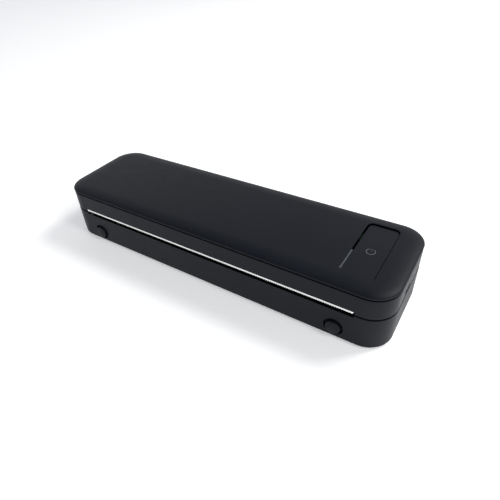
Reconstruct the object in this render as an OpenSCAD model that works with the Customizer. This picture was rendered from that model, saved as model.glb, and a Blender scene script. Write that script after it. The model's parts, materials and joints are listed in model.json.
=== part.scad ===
// Portable A4 thermal printer. A cover hinged at the rear closes over a straight paper path:
// rear inlet, platen and print head, front outlet with a tear bar.
// Origin: bottom centre of the rubber feet. +X along the body, -Y front, +Z up.

/* [Body] */
// Length of the body
body_l = 266; // [264:1:290]
// Depth of the body, front to rear
body_w = 75.5; // [75:0.5:90]
// Corner radius in plan
corner_r = 17; // [15:0.5:18]
// Height of the lower half, underside to seam
base_h = 24.5; // [24:0.5:30]
// Height of the upright band of the cover
band_h = 14.8; // [14.8:0.1:24]
// Thickness of the shell walls
wall = 2; // [1.8:0.1:2.2]
// Thickness of the floor of the lower half
floor_t = 2; // [1.8:0.1:2.4]
// Radius of the lower outer edge
bottom_r = 1.5; // [0.8:0.1:1.8]
// Gap between cover and lower half
seam_gap = 1.05; // [0.3:0.05:1.2]

/* [Top panel] */
// Reach of the elliptical top edge, measured across
edge_run = 11; // [6:0.5:11.5]
// Fall of the elliptical top edge
edge_drop = 2.4; // [1.6:0.05:2.8]
// Radius of the panel's lower edge
rim_r = 1; // [0.4:0.05:1.2]
// Height of the groove under the panel
groove_h = 0.8; // [0.2:0.05:0.9]
// Depth of the groove under the panel
groove_d = 1.2; // [0.9:0.1:1.6]
// Thickness of the panel
panel_t = 2; // [1.6:0.1:2.2]

/* [Power button] */
// Width of the button tongue
key_w = 19.7; // [16:0.1:22]
// Length of the button tongue, root to tip
key_l = 51.5; // [40:0.1:52]
// Distance of the tongue's centre line from the body's right end
key_end = 26.1; // [25:0.1:40]
// Slot on the tongue's inner side and at its tip
key_gap = 1.2; // [0.6:0.05:1.3]
// Slot on the tongue's outer side
key_side_gap = 0.45; // [0.35:0.05:0.8]
// Downward slope of the tongue, degrees
key_slope = 0.9; // [0.5:0.1:1]
// Corner radius at the tongue's tip
key_r = 3; // [1:0.5:5]
// Outer radius of the power symbol
symbol_r = 3; // [2:0.1:5]
// Line width of the power symbol
symbol_line = 0.5; // [0.4:0.1:1]

/* [Paper path] */
// Half width of the front outlet
slot_half = 112.5; // [112:0.5:114]
// Height of the outlet above the seam
slot_up = 2.5; // [2.4:0.1:3.4]
// Depth of the outlet below the seam
slot_down = 1.85; // [1.4:0.05:2.4]
// Height of the rear inlet above the seam
inlet_up = 4; // [4:0.1:5]
// Depth of the rear inlet below the seam
inlet_down = 4; // [3.8:0.1:5]
// Length of the rubber roller
roller_l = 220; // [200:1:221]
// Radius of the rubber roller
roller_r = 6; // [5.5:0.1:6.4]
// Radius of the roller's steel shaft
shaft_r = 2.5; // [2:0.1:2.6]
// Distance of the roller axis behind the front face
roller_in = 13.75; // [13.5:0.05:14.5]
// Gap between roller and heater line, about the paper's thickness
nip_gap = 0.2; // [0.1:0.05:0.3]

/* [Release buttons] */
// Distance of each release button from the body's middle
release_x = 101; // [95:0.5:103]
// Height of the release buttons above the underside
release_h = 8.5; // [8:0.1:10]
// Radius of the hole for a release button
release_hole_r = 6.35; // [5.6:0.05:6.6]
// Radial gap round a release button
release_gap = 1.5; // [0.4:0.05:1.6]
// How far a release button stands out
release_proud = 1.8; // [1.2:0.1:2.4]
// Travel of a release button
release_travel = 2; // [1.5:0.1:2]

/* [Feet and hinge] */
// Height of the rubber feet below the body
foot_h = 1; // [0.8:0.1:2]
// Radius of the rubber feet
foot_r = 5.5; // [4:0.5:7]
// Radius of a hinge knuckle
knuckle_r = 3; // [2.8:0.1:3.1]
// Radius of a hinge pin
pin_r = 1.25; // [1:0.05:1.5]

/* [Gears and motor] */
// Tooth size of the gear train, pitch diameter over tooth count
gear_module = 0.5; // [0.5:0.01:0.51]
// Clearance between a shaft and the hole it turns in
run_gap = 0.05; // [0.03:0.01:0.08]
// Radius of the stepper motor's can
motor_r = 8.5; // [7:0.1:8.8]
// Length of the stepper motor's can
motor_l = 16; // [12:0.5:18]

/* [Battery] */
// Radius of one battery cell
cell_r = 9.1; // [8.5:0.1:9.2]
// Length of one battery cell
cell_l = 65; // [60:0.5:70]

/* [Hidden] */
$fn = 48;

// Outer planes
end_x = body_l / 2;
side_y = body_w / 2;
floor_z = foot_h + floor_t;
seam_z = foot_h + base_h;
step_z = seam_z + band_h;
rim_z = step_z + groove_h + rim_r;
top_z = rim_z + edge_drop;
pocket_z = top_z - panel_t;
pocket_inset = 5;
lap = 1;
seat_gap = 0.3;
over = 1;

// Paper path
slot_clear = 0.5;
lip_z = seam_z - slot_down;
roller_y = -side_y + roller_in;
nip_z = seam_z - 0.5;
roller_z = nip_z - roller_r;
heater_z = nip_z + nip_gap;
guide_t = 1.6;
guide_z = nip_z - 1;
rib_h = 0.6;
rib_w = 1;
rib_pitch = 16;
guide_front = roller_y + roller_r + 1.5;
inlet_top = seam_z + inlet_up;
inlet_bottom = seam_z - inlet_down;
flare_y = side_y - wall - 13.5;
guide_rear = side_y - wall - seat_gap;
guide_foot_z = inlet_bottom + 0.2;
sensor_x = rib_pitch / 2;
sensor_y = guide_front + 7;
sensor_w = 5.6;
sensor_d = 4;
sensor_drop = 0.2;
lip_t = 0.4;
lip_slope = 55;

// Hinge
hinge_y = side_y - wall - 2.75;
hinge_z = seam_z;
knuckle_w = 4.8;
knuckle_gap = 0.4;
cover_lug_x = slot_half + 1.1;
base_lug_x = cover_lug_x + knuckle_w + knuckle_gap;
base_lug_end = base_lug_x + knuckle_w;
window_half = base_lug_end + 1;
corner_relief_x = end_x - corner_r + sqrt(pow(corner_r, 2) - pow(hinge_y - side_y + corner_r, 2)) + 0.4;

// Side plates, bearings and gears
plate_t = 1.2;
plate_x = max(slot_half + 0.5, roller_l / 2 + 3);
plate_out = plate_x + plate_t;
bush_r = 3.4;
bush_wall_out = plate_out + 0.6;
clip_x = bush_wall_out + 0.4;
clip_t = 0.6;
pressure = 25;
backlash = 0.06;
addendum = 0.8;
dedendum = 1.05;
roller_teeth = 22;
small_teeth = 14;
large_teeth = 36;
pinion_teeth = 12;
small_x0 = plate_out + 5;
small_w = 2.8;
large_x0 = small_x0 + small_w + 0.6;
large_w = 2.6;
hub_r = 2.5;
small_gap = gear_module * (roller_teeth + small_teeth) / 2;
large_gap = gear_module * (large_teeth + pinion_teeth) / 2;
idler_z = floor_z + gear_module * (large_teeth / 2 + addendum) + 1.1;
idler_y = roller_y + sqrt(pow(small_gap, 2) - pow(roller_z - idler_z, 2));
motor_z = floor_z + max(motor_r + 0.6, 10);
motor_y = idler_y + sqrt(pow(large_gap, 2) - pow(idler_z - motor_z, 2));
roller_to_idler = atan2(idler_z - roller_z, idler_y - roller_y);
idler_to_motor = atan2(motor_z - idler_z, motor_y - idler_y);
stud_r = 1.5;
stud_head_t = 1;
stud_out = large_x0 + large_w + 1.4;
motor_shaft_r = 1;
ear_reach = motor_r + 2.7;
ear_angle = 150;
ear_w = 5;
flange_t = 1;
pilot_r = 3.1;
motor_face_x = plate_x - flange_t;
motor_back_x = motor_face_x - motor_l;
screw_r = 1.1;
screw_grip = 0.02;
screw_play = 0.1;
head_r = 2.1;
head_h = 1.2;
cross_l = 2.4;
cross_w = 0.5;
cover_screw_l = 6;
small_screw_l = 4;

// Fixings and feet of the lower half
base_screw_ys = [idler_y + 3, idler_y + 16];
base_screw_x = plate_out + 4;
screw_sink = 1.3;
foot_x = end_x - 21;
foot_y = side_y - 12.5;
foot_sink = 0.6;
guide_post_r = 3;

// Latches
release_z = foot_h + release_h;
release_cap_r = release_hole_r - release_gap;
slider_y = -side_y + wall + 2.15;
slider_t = 3;
slider_h = 8;
arm_x = plate_out + 1;
arm_w = 3.4;
hook_z = seam_z + 4.1;
hook_h = 1.4;
hook_reach = 0.7;
catch_gap = 0.5;
catch_t = 1.6;
spring_wire = 0.35;
spring_r = 2.2;
post_y = slider_y + slider_t + release_travel + 3.2;
post_half = 4;
post_t = 1.6;
rail_t = 1.4;
rail_gap = 0.4;
slider_half = 5.6;
stem_r = 3;
collar_play = 0.2;

// Cover inside
frame_inset = 0.15;
frame_in = wall + frame_inset;
inner_t = 1.1;
inner_z = seam_z + 0.45;
inner_top = inner_z + inner_t;
inner_gap = 0.2;
inner_flare_y = flare_y - 2;
inner_rear = side_y - wall - 0.4;
ledge_w = 1.6;
ledge_t = 1.2;
ledge_cut_z = inner_top + ledge_t + 2;
head_back = roller_y + 11;
head_front = roller_y - 7.5;
head_z = heater_z + 0.25;
ceramic_t = 0.8;
ceramic_half = slot_half - 2.5;
resin_t = 0.4;
sink_z = head_z + ceramic_t;
sink_t = 4;
sink_top = sink_z + sink_t;
sink_half = slot_half - 1.3;
pivot_y = head_back - 1.5;
pivot_z = sink_z + 2.1;
pivot_r = 1;
ear_t = 1.4;
ear_x = sink_half + 0.5;
ear_rim = 2.6;
pin_l = 8.5;
fin_xs = [-90, -45, 25, 50];
fin_w = 12;
fin_d = 1.6;
spring_xs = [-70, 0, 70];
spring_y = roller_y - 1;
spring_seat_z = top_z - 8;
spring_boss_r = 3.4;
head_spring_r = 2.5;
post_r = 2.6;
corner_post_x = end_x - 7;
front_post_y = -side_y + 23.75;
rear_post_x = 45;
rear_post_y = side_y - 20.8;

// Tear bar
stake_xs = [-96, -48, 0, 48, 96];
stake_z = seam_z + slot_up + 3;
stake_r = 1;
stake_head_r = 1.7;
stake_head_t = 0.7;
bar_t = 0.8;
bar_half = slot_half - 0.3;
bar_y = -side_y + 0.1;
bar_back = -side_y + frame_in;
bar_top = stake_z + 2.5;
nose_z = seam_z + 0.8;
web_z = seam_z + slot_up - 0.1;
tooth_pitch = 1.5;
tooth_h = 0.6;

// Electronics
usb_w = 8.94;
usb_h = 3.2;
usb_l = 7.3;
usb_wall = 0.32;
usb_port_gap = 0.35;
usb_tongue_w = 6.6;
usb_tongue_t = 0.7;
usb_z = inner_top + 0.15 + usb_h / 2;
usb_mouth_x = end_x - 0.5;
pcb_t = 1.6;
pcb_z = usb_z + usb_h / 2;
pcb_top = pcb_z + pcb_t;
pcb_w = 20;
pcb_front = head_back + 3;
pcb_rear = pcb_front + pcb_w;
pcb_x0 = -60;
pcb_x1 = end_x - wall - 1;
usb_y = pcb_front + 5.5;
pcb_screw_places = [[pcb_x0 + 4, pcb_front + 4], [pcb_x0 + 4, pcb_rear - 4],
  [40, pcb_rear - 4], [pcb_x1 - 16, pcb_rear - 4]];
pcb_post_r = 2.2;
pcb_bore_r = screw_r - 0.2;
pcb_screw_r = screw_r - 0.3;
chips = [[-8, 8, 10, 10, 1.2], [14, 9, 8, 6, 1], [58, 4, 8, 8, 1], [-20, 0, 40, 3, 2], [-58, 7, 8, 6, 4]];
capacitor_xs = [-42, -30, 84];
capacitor_r = 3;
capacitor_h = 5.4;
cable_t = 0.3;
cable_half = 15;
cable_rise = 1.6;
connector_half = 17;
connector_w = 4;
connector_h = 2.2;
key_x = end_x - key_end;
key_root = -side_y + 13.25;
key_seat = 0.15;
relief_start = 20.5;
relief_w = 1.5;
relief_skin = 0.6;
light_start = 1;
light_play = 0.35;
light_sink = 0.4;
switch_in = 44.5;
switch_y = key_root + switch_in;
switch_half = 3;
switch_h = 2.2;
plunger_r = 1.7;
press_gap = 0.75;
boss_r = 2;
boss_z = pocket_z - sin(key_slope) * switch_in - 0.6;
symbol_y = key_root + 23.9;
symbol_t = 0.3;
symbol_depth = 1.2;
symbol_gap_w = 3;
symbol_bar_start = 1.3;
symbol_bar_l = 1.3;
board_z = top_z - 8.5;
board_t = 1.2;
board_l = 38;
board_front = 3.2;
board_back = 4;
board_boss_x = 15.5;
board_boss_r = 2.4;

// Posts that the inner cover is screwed to
post_gap = 0.2;
corner_post_y = switch_y - board_front - post_r - post_gap;
post_places = [[-corner_post_x, front_post_y], [corner_post_x, front_post_y],
  [-corner_post_x, corner_post_y], [corner_post_x, corner_post_y],
  [-rear_post_x, rear_post_y], [rear_post_x, rear_post_y]];

// Battery
cell_y = side_y - 17.75;
cell_z = floor_z + 0.3 + cell_r;
cell_gap = 1;
holder_half = cell_l + cell_gap / 2 + 4;
holder_wall = 2;
holder_side = cell_r + 1.4;
contact_t = 0.5;
contact_x = holder_half - holder_wall - contact_t;
contact_half = 5;
nub_r = 2;
guide_posts = [[slot_half - 8.5, cell_y - 8], [85, guide_front + 5]];
wire_r = 0.8;
wire_sides = 8;
wire_z = floor_z + wire_r;
wire_top = seam_z - 1;

function ellipse_edge(n) = [for (i = [1:n]) let (a = 90 * i / n)
  [edge_run * (1 - cos(a)), rim_z + edge_drop * sin(a)]];
function rim_edge(n) = [for (i = [0:n]) let (a = 90 * i / n) [rim_r * (1 - sin(a)), rim_z - rim_r * cos(a)]];
function round_foot(n) = [for (i = [0:n]) let (a = 90 * i / n)
  [bottom_r * (1 - sin(a)), foot_h + bottom_r * (1 - cos(a))]];
function unit(v) = v / norm(v);

// Solid that follows the body's plan; edge lists [inset, height] from bottom to top
module body_form(edge) {
  last = len(edge) - 1;
  cx = end_x - corner_r;
  cy = side_y - corner_r;
  for (i = [0:3])
    translate([i == 0 || i == 3 ? cx : -cx, i < 2 ? cy : -cy, 0])
      rotate([0, 0, 90 * i])
        rotate_extrude(angle = 90, $fn = 96)
          polygon(concat([[0, edge[0][1]]], [for (p = edge) [corner_r - p[0], p[1]]], [[0, edge[last][1]]]));
  rotate([90, 0, 90])
    linear_extrude(2 * cx, center = true)
      polygon(concat([for (p = edge) [side_y - p[0], p[1]]],
        [for (i = [last:-1:0]) [edge[i][0] - side_y, edge[i][1]]]));
  for (side = [0, 1])
    mirror([side, 0, 0])
      rotate([90, 0, 0])
        linear_extrude(2 * cy, center = true)
          polygon(concat([[cx, edge[0][1]]], [for (p = edge) [end_x - p[0], p[1]]], [[cx, edge[last][1]]]));
}

module body_prism(inset, z0, z1) {
  body_form([[inset, z0], [inset, z1]]);
}

// Box given by its lowest and highest corners
module span(a, b) {
  translate(a)
    cube(b - a);
}

// Mirrored pair about the middle of the body
module both_ends() {
  children();
  mirror([1, 0, 0])
    children();
}

// Profile in the YZ plane, extruded from x0 to x1
module along_x(x0, x1) {
  translate([x0, 0, 0])
    rotate([90, 0, 90])
      linear_extrude(x1 - x0)
        children();
}

module rod_x(x0, x1, y, z, r) {
  translate([x0, y, z])
    rotate([0, 90, 0])
      cylinder(h = x1 - x0, r = r);
}

module rod_y(x, y0, y1, z, r) {
  translate([x, y0, z])
    rotate([-90, 0, 0])
      cylinder(h = y1 - y0, r = r);
}

// Screw with its head's underside at z = 0 and its head upward
module screw(length, r = screw_r, head = head_h) {
  translate([0, 0, -length])
    cylinder(h = length + 0.1, r = r);
  difference() {
    cylinder(h = head, r = head_r);
    for (a = [0, 90])
      rotate([0, 0, a])
        translate([-cross_l / 2, -cross_w / 2, head / 2])
          cube([cross_l, cross_w, head]);
  }
}

// Involute gear: half tooth angle at radius r
function involute(a) = tan(a) * 180 / PI - a;
function half_tooth(n, r) = let (rp = gear_module * n / 2, rb = rp * cos(pressure))
  (PI * gear_module / 2 - backlash) / (2 * rp) * 180 / PI
    + involute(pressure) - involute(acos(min(1, rb / r)));
function polar(r, a) = [r * cos(a), r * sin(a)];
function gear_outline(n) = let (
    rp = gear_module * n / 2,
    rf = rp - dedendum * gear_module,
    ra = rp + addendum * gear_module,
    r0 = max(rp * cos(pressure), rf + 0.01),
    steps = 5)
  [for (k = [0:n - 1]) let (a = 360 * k / n) each concat(
    [polar(rf, a - half_tooth(n, r0))],
    [for (i = [0:steps]) let (r = r0 + (ra - r0) * i / steps) polar(r, a - half_tooth(n, r))],
    [for (i = [steps:-1:0]) let (r = r0 + (ra - r0) * i / steps) polar(r, a + half_tooth(n, r))],
    [polar(rf, a + half_tooth(n, r0))])];

module gear(n, x0, w, y, z, turn, bore) {
  translate([x0, y, z])
    rotate([90, 0, 90])
      rotate([0, 0, turn])
        linear_extrude(w)
          difference() {
            polygon(gear_outline(n));
            circle(bore);
          }
}

// Tube swept along a path; up is a direction the path never follows
module tube(path, r, sides, up) {
  n = len(path);
  points = [for (i = [0:n - 1]) let (
      t = unit(path[min(i + 1, n - 1)] - path[max(i - 1, 0)]),
      u = unit(cross(up, t)),
      v = cross(t, u))
    for (k = [0:sides - 1]) path[i] + r * (cos(360 * k / sides) * u + sin(360 * k / sides) * v)];
  sides_faces = [for (i = [0:n - 2], k = [0:sides - 1]) let (
      a = i * sides + k,
      b = i * sides + (k + 1) % sides)
    each [[a, b + sides, b], [a, a + sides, b + sides]]];
  ends = [[for (k = [0:sides - 1]) k], [for (k = [sides - 1:-1:0]) (n - 1) * sides + k]];
  polyhedron(points, concat(sides_faces, ends));
}

// Compression spring standing on z = 0
module spring(r, wire, height, turns) {
  steps = 12;
  rise = height - 2 * wire;
  tube([for (i = [0:turns * steps]) let (a = 360 * i / steps)
    [r * cos(a), r * sin(a), wire + rise * i / (turns * steps)]], wire, 6, [0, 0, 1]);
}

// Lower half

module release_guides() {
  // Rails that steer a latch slider, and the post behind its spring
  rail_rear = slider_y + slider_t + release_travel + 1;
  post_top = roller_z - roller_r - 0.6;
  for (x = [release_x - slider_half - rail_gap - rail_t, release_x + slider_half + rail_gap])
    span([x, slider_y, floor_z - lap], [x + rail_t, rail_rear, release_z - slider_h / 2 - seat_gap]);
  span([release_x - post_half, post_y, floor_z - lap], [release_x + post_half, post_y + post_t, post_top]);
}

module hinge_lug_base() {
  difference() {
    union() {
      rod_x(base_lug_x, base_lug_end, hinge_y, hinge_z, knuckle_r);
      span([base_lug_x, hinge_y - knuckle_r, floor_z - lap], [base_lug_end, hinge_y + knuckle_r, hinge_z]);
    }
    rod_x(base_lug_x - over, base_lug_end + over, hinge_y, hinge_z, pin_r);
  }
}

module base_shell() {
  lip_end = -side_y + wall + over;
  color("#34373a") {
    difference() {
      body_form(concat(round_foot(4), [[0, seam_z - seam_gap / 2]]));
      body_prism(wall, floor_z, seam_z + over);
      // Front outlet
      span([-slot_half, -side_y - over, lip_z], [slot_half, -side_y + wall + over, seam_z + over]);
      // The outlet's lip falls away inward, towards the roller
      along_x(-slot_half, slot_half)
        polygon([[-side_y + lip_t, seam_z], [-side_y + lip_t, lip_z],
          [lip_end, lip_z - (wall + over - lip_t) * tan(lip_slope)], [lip_end, seam_z]]);
      // Rear inlet and hinge windows
      span([-corner_relief_x, hinge_y - 0.5, inlet_bottom], [corner_relief_x, side_y + over, seam_z + over]);
      both_ends() {
        rod_y(release_x, -side_y - over, -side_y + wall + over, release_z, release_hole_r);
        for (y = base_screw_ys)
          translate([base_screw_x, y, foot_h - over]) {
            cylinder(h = floor_t + 2 * over, r = screw_r + 0.2);
            cylinder(h = over + screw_sink, r = head_r + 0.3);
          }
        for (y = [-1, 1])
          translate([foot_x, y * foot_y, foot_h - over])
            cylinder(h = over + foot_sink, r = foot_r + 0.1);
      }
    }
    both_ends() {
      hinge_lug_base();
      release_guides();
      for (p = guide_posts)
        difference() {
          translate([p[0], p[1], floor_z - lap])
            cylinder(h = guide_z - guide_t - floor_z + lap, r = guide_post_r);
          translate([p[0], p[1], floor_z + 8])
            cylinder(h = base_h, r = screw_r + screw_grip);
        }
    }
  }
}

module rubber_feet() {
  color("#1c1c1d")
    for (x = [-1, 1], y = [-1, 1])
      translate([x * foot_x, y * foot_y, 0])
        cylinder(h = foot_h + foot_sink, r = foot_r);
}

module base_screws() {
  color("#8c8f92")
    both_ends()
      for (y = base_screw_ys)
        translate([base_screw_x, y, foot_h + screw_sink])
          mirror([0, 0, 1])
            screw(3.2);
}

// Lower paper guide with ribs along the paper's travel
module guide_profile(lift) {
  polygon([[guide_front, guide_z + lift], [flare_y, guide_z + lift], [guide_rear, guide_foot_z + lift],
    [guide_rear, guide_foot_z - guide_t], [flare_y, guide_z - guide_t], [guide_front, guide_z - guide_t]]);
}

module paper_guide() {
  ribs = floor((slot_half - 6) / rib_pitch);
  half = slot_half - slot_clear;
  color("#2c2e31")
    difference() {
      union() {
        along_x(-half, half)
          guide_profile(0);
        for (k = [-ribs:ribs])
          along_x(k * rib_pitch - rib_w / 2, k * rib_pitch + rib_w / 2)
            guide_profile(rib_h);
      }
      both_ends()
        for (p = guide_posts)
          translate([p[0], p[1], 0]) {
            cylinder(h = guide_z + head_h, r = screw_r + screw_play);
            translate([0, 0, guide_z - head_h + 0.2])
              cylinder(h = 2 * head_h, r = head_r + 0.3);
          }
      span([sensor_x - sensor_w / 2 - 0.2, sensor_y - sensor_d / 2 - 0.2, 0],
        [sensor_x + sensor_w / 2 + 0.2, sensor_y + sensor_d / 2 + 0.2, guide_z + over]);
    }
}

module guide_screws() {
  color("#8c8f92")
    both_ends()
      for (p = guide_posts)
        translate([p[0], p[1], guide_z - head_h + 0.2])
          screw(6);
}

module paper_sensor() {
  color("#141415") {
    span([sensor_x - sensor_w / 2, sensor_y - sensor_d / 2, guide_z - 3.6],
      [sensor_x + sensor_w / 2, sensor_y + sensor_d / 2, guide_z - sensor_drop]);
    for (s = [-1, 1])
      translate([sensor_x + s * sensor_w / 4, sensor_y, guide_z - sensor_drop - 0.1])
        cylinder(h = sensor_drop + 0.1, r = 0.9);
  }
}

// Steel side plate: upright with a foot turned outward
module side_plate(rear) {
  difference() {
    union() {
      along_x(plate_x, plate_out)
        polygon([[roller_y - 2, floor_z], [rear, floor_z], [rear, roller_z - 3], [rear - 3, roller_z],
          [roller_y + 10, roller_z], [roller_y + 5, nip_z - 1.2], [roller_y - bush_r - 1.2, nip_z - 1.2],
          [roller_y - bush_r - 1.2, roller_z - 4], [roller_y - 2, roller_z - 6]]);
      span([plate_x, base_screw_ys[0] - 4, floor_z],
        [base_screw_x + 3.5, base_screw_ys[1] + 4, floor_z + plate_t]);
    }
    rod_x(plate_x - over, plate_out + over, roller_y, roller_z, bush_r);
    for (y = base_screw_ys)
      translate([base_screw_x, y, floor_z - over])
        cylinder(h = plate_t + 2 * over, r = screw_r + screw_grip);
  }
}

module ear_places() {
  for (s = [0, 180])
    translate([0, motor_y + ear_reach * cos(ear_angle + s), motor_z + ear_reach * sin(ear_angle + s)])
      children();
}

module side_plate_left() {
  color("#9a9da0")
    mirror([1, 0, 0])
      difference() {
        side_plate(motor_y + 13);
        rod_x(plate_x - over, plate_out + over, idler_y, idler_z, stud_r);
        rod_x(plate_x - over, plate_out + over, motor_y, motor_z, pilot_r + 0.1);
        ear_places()
          rod_x(plate_x - over, plate_out + over, 0, 0, screw_r + screw_play);
      }
}

module side_plate_right() {
  color("#9a9da0")
    side_plate(base_screw_ys[1] + 5);
}

module platen_bushings() {
  color("#e6e4dc")
    both_ends()
      difference() {
        rod_x(plate_x - 0.4, bush_wall_out, roller_y, roller_z, bush_r);
        rod_x(plate_x - over, bush_wall_out + over, roller_y, roller_z, shaft_r + run_gap);
      }
}

module gear_stud() {
  color("#b5b8ba") {
    rod_x(-stud_out + stud_head_t / 2, -plate_x, idler_y, idler_z, stud_r);
    rod_x(-stud_out, -stud_out + stud_head_t, idler_y, idler_z, stud_r + 0.9);
  }
}

module motor_body() {
  color("#a4a7a9")
    mirror([1, 0, 0])
      difference() {
        union() {
          rod_x(motor_back_x, motor_face_x, motor_y, motor_z, motor_r);
          along_x(motor_face_x, plate_x)
            translate([motor_y, motor_z])
              rotate([0, 0, ear_angle]) {
                square([2 * ear_reach, ear_w], center = true);
                circle(motor_r - 0.4);
                for (s = [-1, 1])
                  translate([s * ear_reach, 0])
                    circle(ear_w / 2);
              }
          rod_x(plate_x - 0.5, plate_out + 0.4, motor_y, motor_z, pilot_r);
        }
        rod_x(motor_back_x + 1.5, plate_out + over, motor_y, motor_z, motor_shaft_r + run_gap);
        ear_places()
          rod_x(motor_face_x - 2, plate_x + over, 0, 0, screw_r + screw_grip);
      }
}

module motor_screws() {
  color("#8c8f92")
    mirror([1, 0, 0])
      ear_places()
        translate([plate_out, 0, 0])
          rotate([0, 90, 0])
            screw(2.2);
}

module battery_cells() {
  color("#3f7fae")
    both_ends()
      rod_x(cell_gap / 2, cell_gap / 2 + cell_l, cell_y, cell_z, cell_r);
}

module battery_holder() {
  color("#26282b")
    difference() {
      span([-holder_half, cell_y - holder_side, floor_z], [holder_half, cell_y + holder_side, cell_z]);
      rod_x(-holder_half + holder_wall, holder_half - holder_wall, cell_y, cell_z, cell_r + 0.1);
      for (s = [-1, 1])
        translate([s * (cell_l / 2 + cell_gap), cell_y, cell_z])
          cube([cell_l / 2, 3 * cell_r, cell_r], center = true);
    }
}

module battery_contacts() {
  color("#c9b37a")
    both_ends() {
      span([contact_x, cell_y - contact_half, cell_z - 6],
        [contact_x + contact_t, cell_y + contact_half, cell_z + 3]);
      rod_x(cell_l + cell_gap / 2 + 0.1, contact_x, cell_y, cell_z, nub_r);
    }
}

module hinge_pins() {
  color("#b5b8ba")
    both_ends()
      rod_x(cover_lug_x, base_lug_end, hinge_y, hinge_z, pin_r);
}

module latch_spring() {
  translate([release_x, slider_y + slider_t, release_z])
    rotate([-90, 0, 0])
      spring(spring_r, spring_wire, post_y - slider_y - slider_t, 6);
}

module latch_spring_left() {
  color("#b5b8ba")
    mirror([1, 0, 0])
      latch_spring();
}

module latch_spring_right() {
  color("#b5b8ba")
    latch_spring();
}

// Leads from motor and battery to the left hinge
module base_wires() {
  color("#8e2f2a")
    tube([[-holder_half - 0.15, cell_y, wire_z + 3], [-holder_half - 3, cell_y, wire_z + 2.6],
      [-holder_half - 8, cell_y, wire_z + 0.4], [-holder_half - 14, cell_y, wire_z],
      [-end_x + 33, cell_y + 0.5, wire_z], [-end_x + 18, cell_y + 2.5, wire_z],
      [-end_x + 9, cell_y + 4.6, wire_z], [-end_x + 6.8, cell_y + 5, wire_z + 3],
      [-end_x + 6.4, cell_y + 5, wire_z + 8], [-end_x + 6.4, cell_y + 5, wire_top]],
      wire_r, wire_sides, [0.1, 0.1, 1]);
  color("#202224")
    tube([[-motor_back_x, motor_y + 3, motor_z], [-motor_back_x + 2, motor_y + 3, motor_z],
      [-motor_back_x + 3.6, motor_y + 5, motor_z - 3], [-motor_back_x + 3.2, motor_y + 9, wire_z + 2],
      [-motor_back_x, cell_y - 5, wire_z], [-motor_back_x - 6, cell_y - 3.4, wire_z],
      [-end_x + 18, cell_y - 2, wire_z], [-end_x + 9, cell_y + 0.6, wire_z],
      [-end_x + 5.4, cell_y + 1.8, wire_z + 3], [-end_x + 4.8, cell_y + 2, wire_z + 8],
      [-end_x + 4.8, cell_y + 2, wire_top]], wire_r, wire_sides, [0.1, 0.1, 1]);
}

// Cover

// Plan of the tongue, grown on its inner side and tip by one amount and on its outer side by another
module key_outline(grow, outer_grow) {
  r = key_r + grow;
  x0 = -key_w / 2 - grow;
  x1 = key_w / 2 + outer_grow;
  y1 = key_l + grow;
  translate([key_x, key_root]) {
    translate([x0, 0])
      square([x1 - x0, y1 - r]);
    translate([x0 + r, y1 - r])
      square([x1 - x0 - 2 * r, r]);
    for (x = [x0 + r, x1 - r])
      translate([x, y1 - r])
        circle(r);
  }
}

module top_panel() {
  color("#2b2e33") {
    difference() {
      body_form(concat([[groove_d, step_z], [groove_d, step_z + groove_h]], rim_edge(4), ellipse_edge(10)));
      body_prism(pocket_inset, step_z - over, pocket_z);
      translate([0, 0, step_z - over])
        linear_extrude(top_z - step_z + 2 * over)
          key_outline(key_gap, key_side_gap);
      // Relief under the panel along the free part of the slot
      span([key_x - key_w / 2 - key_gap - relief_w, key_root + relief_start, pocket_z - over],
        [key_x + key_w / 2, key_root + key_l + key_gap + relief_w, top_z - relief_skin]);
    }
    for (p = post_places)
      difference() {
        translate([p[0], p[1], inner_top])
          cylinder(h = pocket_z - inner_top + lap / 2, r = post_r);
        translate([p[0], p[1], inner_top - over])
          cylinder(h = cover_screw_l + 2 * over, r = screw_r + screw_grip);
      }
    for (x = spring_xs)
      translate([x, spring_y, spring_seat_z])
        cylinder(h = pocket_z - spring_seat_z + lap / 2, r = spring_boss_r);
    for (s = [-1, 1])
      difference() {
        translate([key_x + s * board_boss_x, switch_y, board_z + board_t])
          cylinder(h = pocket_z - board_z - board_t + lap / 2, r = board_boss_r);
        translate([key_x + s * board_boss_x, switch_y, board_z])
          cylinder(h = small_screw_l + over, r = pcb_screw_r + screw_grip);
      }
  }
}

module hinge_lug_cover() {
  difference() {
    union() {
      rod_x(cover_lug_x, cover_lug_x + knuckle_w, hinge_y, hinge_z, knuckle_r);
      span([cover_lug_x, hinge_y - knuckle_r, hinge_z],
        [cover_lug_x + knuckle_w, hinge_y + knuckle_r, inlet_top + 5]);
    }
    rod_x(cover_lug_x - over, cover_lug_x + knuckle_w + over, hinge_y, hinge_z, pin_r + run_gap);
  }
}

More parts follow.
